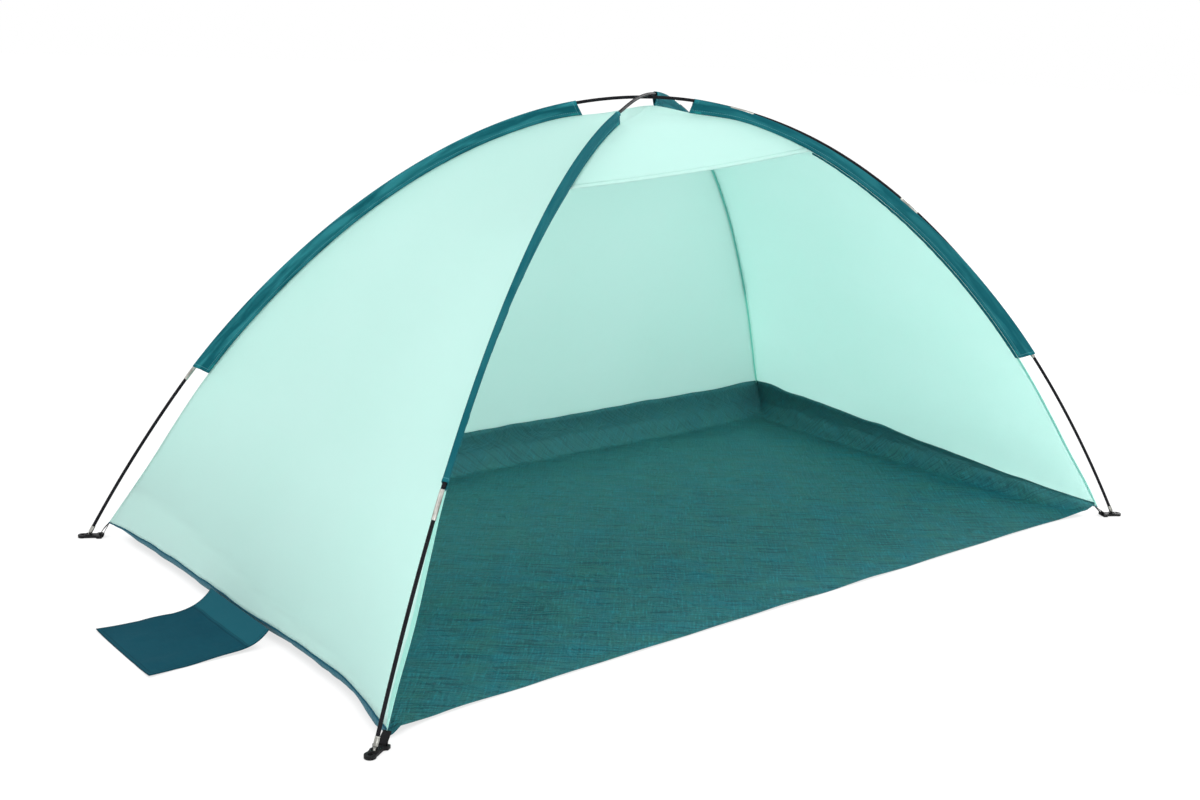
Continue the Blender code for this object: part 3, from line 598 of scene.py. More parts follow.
def webbingMaterial():
    material, tree, shader = newMaterial("blackWebbing", (0.02, 0.02, 0.022))
    parts = split(tree, uvOf(tree))
    ribs, picks = (
        calc(tree, "ABSOLUTE", calc(tree, "SINE", times(tree, parts[axis], math.pi / webbingLooks[name])))
        for axis, name in enumerate(("ribWidth", "pickLength")))
    height = times(tree, calc(tree, "MULTIPLY_ADD", ribs, 0.7, picks), webbingLooks["depth"])
    colour = blendColour(tree, ribs, (0.003, 0.003, 0.004), (0.014, 0.014, 0.016))
    dress(tree, shader, colour, ramp(tree, picks, -0.2, 0.9, False), height, 0.15, 0.9)
    return material


innerRow = (("inner", 0.0015),)
sleeveRows = (("drop", 0.0075), ("end", 0.0075))
flapRows = (("root", 0.0365), ("root", 0.0415), ("rim", 0.008))
mintCloth = clothMaterial("mintCloth")
mintHem = clothMaterial("mintHem", innerRow, (0.62, 0.93, 0.87))
edgeHem = clothMaterial("edgeHem", innerRow, (0.45, 0.93, 0.85))
mintAllowance = clothMaterial("mintAllowance")
tealCloth = clothMaterial("tealCloth", sleeveRows, (0.10, 0.30, 0.34), 0.0012)
bindingCloth = clothMaterial("bindingCloth")
flapCloth = clothMaterial("flapCloth", flapRows, (0.004, 0.026, 0.038), 0.0008)
floorCloth = floorMaterial()
rodBlack = hardMaterial(
    "rodBlack", (0.016, 0.016, 0.019), (0.006, 0.006, 0.008), 0.42, (900, 8), size=0.05, shine=0.05)
plateSteel = hardMaterial(
    "plateSteel", (0.70, 0.70, 0.66), (0.16, 0.16, 0.14), 0.30, (420, 14), size=0.02, metallic=1.0)
footPlastic = hardMaterial(
    "footPlastic", (0.006, 0.006, 0.007), (0.003, 0.003, 0.004), 0.45, (500, 500), depth=0.00005, shine=0.18)
elasticWhite = hardMaterial(
    "elasticWhite", (0.78, 0.78, 0.74), (0.6, 0.6, 0.57), 0.75, (3000, 1200), depth=0.0002)
webbingBlack = webbingMaterial()
print("materials ready:", len(bpy.data.materials))

# The canopy: three walls and the visor, drawn smooth between the seams

canopySizes = {
    "cloth": 0.0005,
    "walls": {  # first corner, second corner, how far the middle is drawn in, columns
        "left_wall": ("back_left", "front_left", 0.012, 76),
        "right_wall": ("back_right", "front_right", 0.012, 76),
        "back_wall": ("back_left", "back_right", 0.025, 124),
    },
    "rows": 112,
    "visorGrid": (64, 36),
    "visorFlat": (0.8, 0.45),
    "visorSag": 0.006,
    "hemBlendShare": 0.25,
    "sideInset": 0.020,
    "backInset": 0.015,
    "frontInset": 0.035,
    "edgeRise": 0.007,
    "edgeWave": {"length": 0.07, "height": 0.004},
    "leftDraw": {  # how far the left wall's foot is drawn in, from the front corner back
        -1: 0, -0.93: 0.001, -0.85: 0.006, -0.75: 0.012, -0.62: 0.016, -0.48: 0.013, -0.34: 0.011,
        -0.26: 0.009, -0.15: 0.002},
    "wave": {"length": 0.30, "height": 0.0035, "run": 0.12},  # it grows over this run from a seam
    "crownWave": {"length": 0.055, "height": 0.0030, "run": 0.04, "start": 0.80, "rest": 0.2},
    "gather": {"length": 0.016, "height": 0.0016, "run": 0.022, "start": 0.004, "across": 9},
    "footShade": {"above": 0.30, "below": 0.016},  # painted shade at a wall's foot: how far it fades from the top of the floor's edge
    "bands": {  # rows, width and thickness
        "visorHem": (90, 0.016, 0.0014), "leftHem": (60, 0.011, 0.0014), "rightHem": (60, 0.0065, 0.0014),
        "lowerBinding": (160, 0.004, 0.0018), "backAllowance": (120, 0.009, 0.001),
        "frontAllowance": (110, 0.0085, 0.0009)},
}


def between(value, stops):
    return float(np.interp(value, list(stops), list(stops.values())))


def halfLengthAt(b, a=1):
    drawn = 0 if a > 0 else between(b, canopySizes["leftDraw"]) * min(1, -a) ** 20
    return halfLength - canopySizes["sideInset"] * (1 - b ** 4) - drawn


def halfDepthAt(a, b, frontCurve=12):
    if b > 0:
        return halfDepth - canopySizes["backInset"] * (1 - a ** 4)
    return halfDepth - canopySizes["frontInset"] * (1 - a ** frontCurve)


def hemPoint(first, second, share):
    # The lower edge of a wall, a little wavy where the floor's edge goes up inside it
    a, b = (start + (end - start) * share for start, end in zip(corners[first], corners[second]))
    free = 1 - (a * b) ** 4
    size = canopySizes["edgeWave"]
    wave = wobble(a * halfLength / size["length"], b * halfDepth / size["length"], 3.1)
    rim = cornerHeight(b) + canopySizes["edgeRise"] * free
    return Vector((a * halfLengthAt(b, a), b * halfDepthAt(a, b), rim + size["height"] * free * wave))


def ripple(place, size, seed, toSeam):
    bend = wobble(place[0] / size["length"], place[1] / size["length"], place[2] / size["length"] + seed)
    return size["height"] * bend * min(1, toSeam / size["run"])


def panelRow(first, second, distance, sag):
    # One level of cloth between two seams, read by the share of the way across
    start, end = seams[first](distance), seams[second](distance)
    low, high = max(distance - chord, seamStart), min(distance + chord, halfArc)
    climb = seams[first](high) + seams[second](high) - seams[first](low) - seams[second](low)
    outward = climb.cross(end - start).normalized()
    if outward.z < 0:
        outward = -outward
    height = (distance - seamStart) / (halfArc - seamStart)
    width = (end - start).length
    top, tuck = canopySizes["crownWave"], canopySizes["gather"]

    def at(share):
        place = start.lerp(end, share)
        toSeam = min(share, 1 - share) * width
        pucker = math.exp(-toSeam / tuck["run"]) * (1 - math.exp(-toSeam / tuck["start"]))
        wave = ripple(place, canopySizes["wave"], 2.0, toSeam)
        wave += ripple(place, top, 7.0, toSeam) * max(0, height - top["start"]) / top["rest"]
        gather = tuck["height"] * pucker * wobble(distance / tuck["length"], share * tuck["across"], 5.0)
        belly = sag * 16 * share * (1 - share) * height * (1 - height)
        return place + outward * (wave + gather - belly)
    return at


def wallRow(wall, distance):
    first, second, sag, _ = canopySizes["walls"][wall]
    row, foot = (panelRow(first, second, level, sag) for level in (distance, seamStart))
    fade = max(0, 1 - (distance - seamStart) / (halfArc - seamStart) / canopySizes["hemBlendShare"]) ** 2
    if not fade:
        return row
    return lambda share: row(share) + fade * (hemPoint(first, second, share) - foot(share))


def wallInset(wall, distance, inset):
    # A place on a wall at a distance in from its front seam
    first, second, _, _ = canopySizes["walls"][wall]
    width = (seams[second](distance) - seams[first](distance)).length
    return wallRow(wall, distance)(1 - inset / width)


def stripRise(b):
    # How far the floor's turned-up edge goes up inside the walls
    front, back = tentSizes["stripRises"]
    return front + (back - front) * math.sin(math.pi / 4 * (b + 1)) ** 1.5


def footShadeAt(wall, share, distance):
    # Painted shade at a wall's foot: 1 at the top of the floor's edge behind it, fading over 0.3 m above and
    # quickly below
    above = distance - seamStart - stripRise(1 if wall == "back_wall" else 1 - 2 * share)
    fade = canopySizes["footShade"]
    return max(0, 1 - above / fade["above"]) ** 1.6 if above > 0 else max(0, 1 + above / fade["below"])


def visorStart(share):
    # Its free edge runs aslant, further down the left pole than the right
    return halfArc - leftReach - (rightReach - leftReach) * share


def visorAt(share, distance):
    return panelRow("front_left", "front_right", distance, canopySizes["visorSag"])(share)


def addWall(wall):
    columns, rows = canopySizes["walls"][wall][-1], canopySizes["rows"]
    places = [seamStart + (halfArc - seamStart) * row / rows for row in range(rows + 1)]
    rules = [wallRow(wall, distance) for distance in places]
    width = tentSizes["floorDepth"] if wall != "back_wall" else tentSizes["floorLength"]
    mesh, area = clothMesh(
        wall + "_cloth", columns, rows, lambda c, r: rules[r](c / columns), size=(width, halfArc),
        marks={"low": lambda c, r: footShadeAt(wall, c / columns, places[r])})
    item = addPiece(wall + "_cloth", mesh, mintCloth, "tent", [wall], canopySizes["cloth"])
    return item, width, area


def addVisor():
    columns, rows = canopySizes["visorGrid"]

    def place(column, row):
        share = column / columns
        start = visorStart(share)
        return visorAt(share, start + (halfArc - start) * (row / rows))

    mesh, area = clothMesh("visor_cloth", columns, rows, place, size=canopySizes["visorFlat"])
    item = addPiece("visor_cloth", mesh, mintCloth, "tent", ["visor"], canopySizes["cloth"])
    return item, area


canopyPieces = [addWall(wall) for wall in canopySizes["walls"]]
visorItem, visorArea = addVisor()
print("canopy cloth ready: wall areas", [round(area, 3) for _, _, area in canopyPieces], round(visorArea, 3))


bands = canopySizes["bands"]


def addBand(name, kind, outer, inner, material, marks=None):
    # A narrow folded band between two lines, each read by a share of its length
    rows, width, thickness = bands[kind]

    def place(column, row):
        return outer(row / rows).lerp(inner(row / rows), column / 3)

    length = sum((outer((row + 1) / rows) - outer(row / rows)).length for row in range(rows))
    marks = {"inner": lambda column, row: width * (1 - column / 3), **(marks or {})}
    mesh = clothMesh(name, 3, rows, place, size=(width, length), marks=marks)[0]
    addPiece(name, mesh, material, "tent", thickness=thickness)


# Hems on the free edges: the visor's, and below the sleeves in front
hem = bands["visorHem"][1]
addBand(
    "visor_hem", "visorHem", lambda share: visorAt(share, visorStart(share)),
    lambda share: visorAt(share, visorStart(share) + hem), mintHem)

for side in ("left", "right"):
    wall, corner, kind = side + "_wall", "front_" + side, side + "Hem"
    low, high = seamStart, sleeveSizes["spans"][corner][0] + 0.006
    band = bands[kind][1]

    def onEdge(share, inset):
        return wallInset(wall, low + (high - low) * share, inset)

    addBand(
        corner + "_hem", kind, lambda share: onEdge(share, -0.0004),
        lambda share: onEdge(share, band * (0.35 + 0.65 * min(1, share / 0.12))), edgeHem)

for wall in canopySizes["walls"]:
    foot, above = wallRow(wall, seamStart), wallRow(wall, seamStart + bands["lowerBinding"][1])
    addBand(wall + "_binding", "lowerBinding", foot, above, bindingCloth)

# Seam allowances inside, down the back seams
for side in ("left", "right"):
    corner = "back_" + side
    low, high = seamStart + stripRise(1) - 0.004, halfArc - 0.02
    rows, sleeveFoot = bands["backAllowance"][0], sleeveSizes["spans"][corner][0]

    def standing(share, depth):
        # The allowance stands in from the seam, between the two walls
        seam = seams[corner](low + (high - low) * share)
        inward = Vector((-seam.x, -seam.y, 0)).normalized()
        return seam + (inward * 0.8 + Vector((0, 0, -0.6))) * depth

    def shaded(column, row):
        # 1 where the sleeve outside takes the light away
        return kept((low + (high - low) * row / rows - sleeveFoot) / 0.01)

    addBand(
        corner + "_allowance", "backAllowance", lambda share: standing(share, 0.0005),
        lambda share: standing(share, 0.0095), mintAllowance, {"shaded": shaded})

# Sleeves over the poles


def teardrop(depth, sides=9, caps=10):
    # Outline of a sleeve across the pole: flat sides from the seam up, round over the top
    radius, fold = sleeveSizes["round"], sleeveSizes["fold"] / 2
    turn = math.asin(radius / depth)
    wide, deep = radius * math.cos(turn) - fold, radius * math.sin(turn) - depth
    points = [(fold + wide * (number / sides), depth + deep * (number / sides)) for number in range(sides)]
    for number in range(caps + 1):
        angle = turn - (turn + math.pi / 2) * number / caps
        points.append((radius * math.cos(angle), radius * math.sin(angle)))
    return points + [(-across, drop) for across, drop in reversed(points[:-1])]


def addSleeve(corner):
    pole = poleOf[corner]
    start, end = sleeveSizes["spans"][corner]
    lowPole, lowSeam, highPole, highSeam = sleeveSizes["slants"][corner]
    rows, ends, pale = (sleeveSizes[name] for name in ("rows", "slantRun", "pale"))
    (flare, flareRun), (pinch, pinchRun) = sleeveSizes["flare"], sleeveSizes["pinch"]
    (slack, slackRun), (puff, puffRun), (pull, pullRun) = sleeveSizes["waves"]
    seed = list(corners).index(corner) * 11.3

    def ring(row):
        run = start + (end - start) * row / rows
        centre = upright(corner, onPole(pole, run))
        climb = alongPole(corner, run, 0.02)
        foot = seams[corner](run * meanPole["length"] / pole["length"])
        down = (foot - centre).normalized()
        lateral = climb.cross(down).normalized()
        depth = (foot - centre).length
        nearLow, nearHigh = max(0, 1 - (run - start) / ends), max(0, 1 - (end - run) / ends)
        toEnd = min(run - start, end - run)
        wider = flare * math.exp(-toEnd / flareRun)
        narrow = 1 - pinch * math.exp(-toEnd / pinchRun)
        points = []
        for across, drop in teardrop(depth):
            side = 1 if across > 0 else -1
            share = kept(drop / depth)  # 0 at the pole, 1 at the seam
            free = min(1, share * 3) * min(1, (1 - share) * 5)
            loose = slack * wobble(run / slackRun + share * 1.2, share * 0.8, seed + 3 * side)
            loose += puff * wobble(run / puffRun - share * 1.5, share * 1.2, seed + side)
            loose += pull * wobble(run / pullRun, share, seed + 4 * side)
            stand = side * (free * (loose + sleeveSizes["flat"]) + wider * (1 - share))
            across = across * (narrow if share > 0.25 else 1) + stand
            along = nearLow * (lowPole + (lowSeam - lowPole) * share)
            along += nearHigh * (highPole + (highSeam - highPole) * share)
            points.append(centre + lateral * across + down * drop + climb * along)
        return points, depth

    rings = [ring(row) for row in range(rows + 1)]
    count = len(rings[0][0])

    def drop(column, row):
        depth = rings[row][1]
        return depth - teardrop(depth)[column % count][1]

    def toEnd(column, row):
        run = (end - start) * row / rows
        return min(run, end - start - run)

    name = corner + "_sleeve_cloth"
    mesh, area = clothMesh(
        name, count, rows, lambda c, r: rings[r][0][c % count], size=(0.07, end - start), closed=True,
        marks={"drop": drop, "end": toEnd, "pale": lambda c, r: pale[corner]})
    item = addPiece(name, mesh, tealCloth, "tent", [corner + "_sleeve"], sleeveSizes["cloth"])
    return item, area, end - start


sleeveItems = [addSleeve(corner) for corner in corners]

for side, reach in (("left", leftReach), ("right", rightReach)):
    # The front sleeves' inner allowance, sewn flat on the wall below the visor
    wall, corner = side + "_wall", "front_" + side
    low, high = sleeveSizes["spans"][corner][0], halfArc - reach - 0.006
    band = bands["frontAllowance"][1]

    def onWall(share, inset):
        place = wallInset(wall, low + (high - low) * share, inset)
        return place + (Vector((0, 0, 0.35)) - place).normalized() * 0.0012

    addBand(
        corner + "_allowance", "frontAllowance", lambda share: onWall(share, 0.0002),
        lambda share: onWall(share, band * min(1, (1 - share) / 0.008 + 0.25)), tealCloth)
print("sleeves ready")

# Groundsheet with its turned-up edge

floorSizes = {
    "cloth": 0.0005,
    "run": 0.036,  # from the ground line out to the wall's foot
    "space": 0.0022,
    "lean": 0.009,  # of the turned-up edge's top, off the wall
    "liftRun": 0.140,
    "columns": 150,
    "rows": 86,
    "edgeSteps": 12,
    "skirt": {-1: 0.2, -0.85: 0.45, -0.6: 0.5, -0.4: 0.2, -0.28: 0.1, -0.1: 0.2, 0.3: 0.4, 0.7: 0.3, 1: 0},
    "frontCurve": 18,  # how late the front edge turns out to the corners
    "droop": 0.011,  # how far the left edge hangs over at the front corner
    "creases": (  # depth, width, length, breadth, seed
        (0.0034, 0.2, 0.30, 0.075, 1.7), (0.0012, 0.14, 0.09, 0.30, 8.2), (0.0011, 0.2, 0.06, 0.025, 4.4)),
    "creaseMargin": 0.05,
    "front": {"height": 0.0024, "run": 0.012, "length": 0.13},
    "crumples": {  # of the turned-up edge: amount, seed, unevenness of its top
        "back_wall": (0.45, 0.0, 0.05), "left_wall": (1.0, 5.0, 0.05), "right_wall": (1.5, 10.0, 0.12)},
    "fillet": 0.012,
    "folds": (0.0040, 0.0060, 0.0014),  # crumple, ridge and pleat
    "flatEdge": (0.045, 0.08),  # on the flat sheet: out to the hem, and up the strip
}
groundShareSide = 1 - floorSizes["run"] / halfLength
groundShareBack = 1 - floorSizes["run"] / halfDepth
grain = math.radians(floorLooks["grain"])


def floorPoint(a, b):
    x = a * halfLengthAt(b, a)
    y = b * halfDepthAt(a, b, floorSizes["frontCurve"])
    toCorner = math.hypot(halfLength - abs(x), halfDepth - abs(y))
    lift = cornerHeight(b) * max(0, 1 - toCorner / floorSizes["liftRun"]) ** 2
    edge = min((1 - abs(a)) * halfLength, (1 + b) * halfDepth, (1 - b) * halfDepth)
    across, ahead = x * math.cos(grain) - y * math.sin(grain), x * math.sin(grain) + y * math.cos(grain)
    crease = 0
    for (depth, width, length, breadth, seed), shift in zip(floorSizes["creases"], (3, 0, ahead / 0.2)):
        crease += depth * max(0, width - abs(wobble(across / length + shift, ahead / breadth, seed))) / width
    crease *= kept(edge / floorSizes["creaseMargin"])
    size = floorSizes["front"]
    front = size["height"] * math.exp(-(1 + b) * halfDepth / size["run"])
    front *= 0.7 + wobble(x / size["length"], 0.0, 9.1)
    return Vector((x, y, max(lift, floorSizes["cloth"]) + crease + max(0, front)))


backRows = {}


def stripPoint(wall, a, b, climb):
    # The turned-up edge, close inside a wall; climb runs from the hem, 0, to its own top, 1
    rise = stripRise(b) * (1 + floorSizes["crumples"][wall][2] * wobble(a * 7, b * 5, 6.0))
    distance = seamStart + rise * climb
    space = floorSizes["space"]
    lean = space + floorSizes["lean"] * climb ** 2 * (1 - (a * b) ** 6)
    if wall == "back_wall":
        key = round(distance, 5)
        if key not in backRows:
            backRows[key] = wallRow(wall, distance)
        place = backRows[key]((a + 1) / 2)
        sideways, backwards = space if abs(a) == 1 else 0, lean
    else:
        place = wallRow(wall, distance)((1 - b) / 2)
        sideways, backwards = lean, space if abs(b) == 1 else 0
    place.x -= sideways * (1 if a > 0 else -1)
    place.y -= backwards * (1 if b > 0 else -1)
    return place


def edgePoint(wall, ground, a, b, level):
    # Left, the edge lies out to the wall's foot; elsewhere it rounds the fold, crumpled
    back, left = wall == "back_wall", wall == "left_wall"
    run = a * halfLength if back else b * halfDepth
    near = min(1, (1 - (a * b) ** 4) * 3)
    if level > 1:
        place = stripPoint(wall, a, b, level - 1)
    else:
        outer = stripPoint(wall, a, b, 0)
        skirt = between(b, floorSizes["skirt"]) * near if left else 0
        place = ground.lerp(outer, 1 - (1 - level) ** (1.1 + skirt))
        place.z = ground.z + (outer.z - ground.z) * level ** (1.4 + 1.2 * skirt)
        if left:
            droop = math.sin(math.pi * min(1, level)) * kept((-b - 0.72) / 0.2) * floorSizes["droop"]
            place += Vector((-0.55, 0.10, -1)) * droop
    free = min(1, (2 - level) / 0.6) * min(1, level / 0.4)
    if left:
        free *= kept((level - 1) / 0.3)
    amount, seed, _ = floorSizes["crumples"][wall]
    fillet = floorSizes["fillet"] * math.exp(-((level - 0.95) / 0.5) ** 2)
    crumple = 0.5 + wobble(run / 0.045 + level * 1.1, level * 1.6, seed)
    ridge = 0.5 - abs(wobble(run / 0.11 - level * 0.9, level * 0.9, seed + 2))
    pleat = 0.5 + 0.5 * wobble(run / 0.012, level * 0.4, seed + 4)
    soft, sharp, fine = floorSizes["folds"]
    folds = soft * crumple + sharp * ridge + fine * pleat * max(0, level - 0.6)
    inward = free * (fillet + amount * near * folds)
    sideways, backwards = (abs(a) ** 16, 1) if back else (1, max(0, b) ** 16)
    place += Vector((-math.copysign(sideways, a), -backwards, 0.75)) * inward * 0.8
    place.z = max(place.z, floorSizes["cloth"])
    return place


def floorPlace(a, b, side, behind):
    # side and behind count up the turned-up edge: 0 at the ground line, 1 at the hem, 2 at its top
    if side == behind == 0:
        return floorPoint(a, b)
    sign = 1 if a > 0 else -1
    if side <= behind:
        over = side / behind
        ground = floorPoint(a if side == 0 else sign * groundShareSide, groundShareBack)
        along = a if side == 0 else sign * (groundShareSide + (1 - groundShareSide) * over)
        return edgePoint("back_wall", ground, along, 1, behind)
    over = behind / side
    ground = floorPoint(sign * groundShareSide, b if behind == 0 else groundShareBack)
    along = b if behind == 0 else groundShareBack + (1 - groundShareBack) * over
    return edgePoint("right_wall" if a > 0 else "left_wall", ground, sign, along, side)


def addFloor():
    steps, across, deep = (floorSizes[name] for name in ("edgeSteps", "columns", "rows"))
    columns = [(-1.0, 2 - 2 * step / steps) for step in range(steps)]
    columns += [(groundShareSide * (2 * number / across - 1), 0) for number in range(across + 1)]
    rows = [(-1 + (groundShareBack + 1) * number / deep, 0) for number in range(deep + 1)]
    for line in (columns, rows):
        line += [(1.0, 2 * (step + 1) / steps) for step in range(steps)]

    def place(column, row):
        (a, side), (b, behind) = columns[column], rows[row]
        return floorPlace(a, b, side, behind)

    def spread(share, level, ground, full):
        # Where a point lies on the flat sheet
        out, up = floorSizes["flatEdge"]
        inner = kept(share, -ground, ground) * full
        return inner + math.copysign(min(level, 1) * out + max(0, level - 1) * up, share) * (level > 0)

    def flat(column, row):
        (a, side), (b, behind) = columns[column], rows[row]
        ground = groundShareBack if b > 0 else 1
        return spread(a, side, groundShareSide, halfLength), spread(b, behind, ground, halfDepth)

    def skirt(column, row):
        a, side = columns[column]
        return min(1, side) if a == -1 and side <= 1.2 else 0.0

    mesh, area = clothMesh(
        "groundsheet_cloth", len(columns) - 1, len(rows) - 1, place, flat=flat,
        marks={
            "frontEdge": lambda column, row: (rows[row][0] + 1) * halfDepth,
            "strip": lambda column, row: kept((max(columns[column][1], rows[row][1]) - 0.2) / 0.9),
            "skirt": skirt,
        })
    name, nodes = "groundsheet_cloth", ["groundsheet"]
    return addPiece(name, mesh, floorCloth, "tent", nodes, floorSizes["cloth"]), area


floorItem, floorArea = addFloor()
print("groundsheet ready: area", round(floorArea, 3))

# Sand flaps

flapSizes = {
    "width": 0.240, "length": 0.2245, "centre": -0.020, "landing": 0.125, "cloth": 0.0010, "hinge": 0.0013,
    "grid": (40, 48), "slope": 4.6, "curl": 0.0030, "frontLift": 0.0035, "frontRun": 0.16,
    "wave": {"length": 0.05, "height": 0.0032}, "drawn": 0.03, "uneven": 0.012,
}


def addFlap(name, side):
    width, length, centre, cloth = (flapSizes[size] for size in ("width", "length", "centre", "cloth"))
    columns, rows = flapSizes["grid"]
    b = centre / halfDepth
    hingeX = halfLengthAt(b) + flapSizes["hinge"]
    hingeZ = cornerHeight(b) + canopySizes["edgeRise"]
    size = flapSizes["wave"]

    def root(column, row):
        return length * (row / rows) ** 1.15

    def place(column, row):
        across, out = 2 * column / columns - 1, root(column, row)
        slope = max(0, 1 - out / flapSizes["landing"]) ** flapSizes["slope"]
        height = (hingeZ - cloth / 2) * slope + cloth / 2
        lift = flapSizes["curl"] * abs(across) ** 4 * (out / length) ** 6
        rise = math.sin(math.pi * min(1, out / flapSizes["frontRun"])) ** 2
        lift += flapSizes["frontLift"] * max(0, across * side) ** 6 * rise
        wave = size["height"] * max(0, wobble(out / size["length"], across * 2.4, side * 3.0))
        wave *= min(1, out / size["length"])
        draw = 1 - flapSizes["drawn"] * math.sin(math.pi * row / rows)
        draw -= flapSizes["uneven"] * wobble(out / size["length"], side * 2.0, across)
        return Vector((side * (hingeX + out), centre + across * draw * width / 2, height + lift + wave))

    def rim(column, row):
        toSide = (1 - abs(2 * column / columns - 1)) * width / 2
        return min(toSide, length - root(column, row))

    mesh, area = clothMesh(
        name + "_cloth", columns, rows, place, size=(width, length), marks={"root": root, "rim": rim})
    return addPiece(name + "_cloth", mesh, flapCloth, name, [name], cloth), area


flapItems = [addFlap("left_sand_flap", -1), addFlap("right_sand_flap", 1)]
print("sand flaps ready")

# Poles: sections, ferrules, elastic and tips

poleSizes = {
    "rod": 0.00345, "bore": 0.0015, "ferrule": 0.00420, "ferruleWall": 0.0008, "ferruleLength": 0.054,
    "rolled": (0.00045, 0.0015), "elastic": 0.0012, "sections": 7, "start": 0.0088, "joint": 0.0003,
    "ends": {"lower": (0.437, 0.4877), "upper": (0.396, 0.5184)}, "fit": 0.0002,
    "tipLength": 0.016, "tipFloor": 0.003, "tipWall": 0.0006, "noseLength": 0.0055, "noseRadius": 0.00275,
}


def tubeMesh(name, corner, start, end, radius, sides=20, step=0.012):
    # A tube along a bent pole; radius may change along it
    rows = max(6, round((end - start) / step))

    def place(column, row):
        run = start + (end - start) * row / rows
        climb = alongPole(corner, run, 0.004)
        side = Vector((climb.y, -climb.x, 0)).normalized()
        angle = 2 * math.pi * column / sides
        out = side * math.cos(angle) + climb.cross(side) * math.sin(angle)
        return upright(corner, onPole(poleOf[corner], run)) + out * radius(run)

    return clothMesh(name, sides, rows, place, size=(2 * math.pi * 0.004, end - start), closed=True)[0]


def addPole(name, corner):
    length = poleOf[corner]["length"]
    first, last = poleSizes["ends"][name]
    count, start, gap = (poleSizes[size] for size in ("sections", "start", "joint"))
    pitch = (length - first - last) / (count - 2)
    joints = [first + number * pitch for number in range(count - 1)]
    stops = [start] + joints + [length - start]
    for number in range(count):
        title = f"{name}_pole_section_{number + 1}"
        low = stops[number] + (gap / 2 if number else 0)
        high = stops[number + 1] - (gap / 2 if number < count - 1 else 0)
        mesh = tubeMesh(title + "_rod", corner, low, high, lambda run: poleSizes["rod"])
        addPiece(title + "_rod", mesh, rodBlack, "tent", [title], poleSizes["bore"], -1)
    half, wall = poleSizes["ferruleLength"] / 2, poleSizes["ferruleWall"] - 0.0002
    for number, joint in enumerate(joints):
        title = f"{name}_pole_ferrule_{number + 1}"

        def rolled(run):
            depth, reach = poleSizes["rolled"]
            toEnd = half - abs(run - joint)
            return poleSizes["ferrule"] - depth * max(0, 1 - toEnd / reach) ** 2

        mesh = tubeMesh(title + "_tube", corner, joint - half, joint + half, rolled, step=0.0009)
        addPiece(title + "_tube", mesh, plateSteel, "tent", [title], wall, -1)
    title = f"{name}_pole_elastic"
    mesh = tubeMesh(
        title + "_cord", corner, start, length - start, lambda run: poleSizes["elastic"], sides=10, step=0.02)
    addPiece(title + "_cord", mesh, elasticWhite, "tent", [title])


def tipMesh():
    # Turned: bore, rolled rim, wall with a groove, shoulder and round nose
    nose, low = poleSizes["noseRadius"], poleSizes["noseLength"]
    bore = poleSizes["rod"] + poleSizes["fit"]
    outer = bore + poleSizes["tipWall"]
    floor, top = low + poleSizes["tipFloor"], low + poleSizes["tipLength"]
    profile = [(0, floor), (bore, floor), (bore, top - 0.0003), (bore + 0.0002, top), (outer - 0.0002, top)]
    profile += [
        (outer - inset, top - drop)
        for inset, drop in ((0, 0.0003), (0, 0.0030), (0.0002, 0.0034), (0.0002, 0.0042), (0, 0.0046))]
    profile += [(outer, low + 0.0009), (outer - 0.0003, low + 0.0003), (outer - 0.0009, low)]
    profile += [(nose + 0.0003, low), (nose, low - 0.0003)]
    turns = np.linspace(0, math.pi / 2, 9)[:-1]
    profile += [(nose * math.cos(turn), -nose * math.sin(turn)) for turn in turns]
    profile.append((0, -nose))
    turned = bmesh.new()
    verts = [turned.verts.new((radius, 0, height)) for radius, height in profile]
    edges = [turned.edges.new(pair) for pair in zip(verts, verts[1:])]
    bmesh.ops.spin(
        turned, geom=verts + edges, cent=(0, 0, 0), axis=(0, 0, 1), angle=2 * math.pi, steps=32,
        use_merge=True)
    bmesh.ops.remove_doubles(turned, verts=turned.verts, dist=0.00001)
    bmesh.ops.recalc_face_normals(turned, faces=turned.faces)
    uv = turned.loops.layers.uv.new("cloth")
    for face in turned.faces:
        for loop in face.loops:
            loop[uv].uv = (math.atan2(loop.vert.co.y, loop.vert.co.x) * 0.004, loop.vert.co.z)
    mesh = meshFrom("pole_tip", turned)
    mesh.shade_smooth()
    return mesh


addPole("lower", "back_left")
addPole("upper", "front_left")
for corner in corners:
    seat = upright(corner, onPole(poleOf[corner], 0))
    climb = upright(corner, onPole(poleOf[corner], chord)) - seat
    mesh = tipMesh()
    mesh.transform(Matrix.Translation(seat) @ climb.to_track_quat("Z", "Y").to_matrix().to_4x4())
    addPiece(corner + "_pole_tip_turned", mesh, plateSteel, "tent", [corner + "_pole_tip"])
print("poles ready")

# Feet and webbing loops

footSizes = {
    "height": 0.0055, "bossHeight": 0.0075, "bossWall": 0.0026, "cupFloor": 0.003, "cupRadius": 0.0029,
    "mouthRadius": 0.0054, "holeRadius": 0.004, "holeReach": 0.0130, "ringWall": 0.006, "neck": 0.017,
    "barReach": 0.028, "barDepth": 0.003, "relief": 0.0018, "slotDepth": 0.0045, "slotWidth": 0.020,
    "cheek": 0.004, "cheekRadius": 0.0025, "shoulder": 0.004, "bevel": 0.0005,
}
loopSizes = {"width": 0.014, "cloth": 0.001, "slack": 0.0015, "points": 72}


def arcPoints(x, y, radius, start, end, steps):
    turns = [math.radians(start + (end - start) * step / steps) for step in range(steps + 1)]
    return [(x + radius * math.cos(turn), y + radius * math.sin(turn)) for turn in turns]


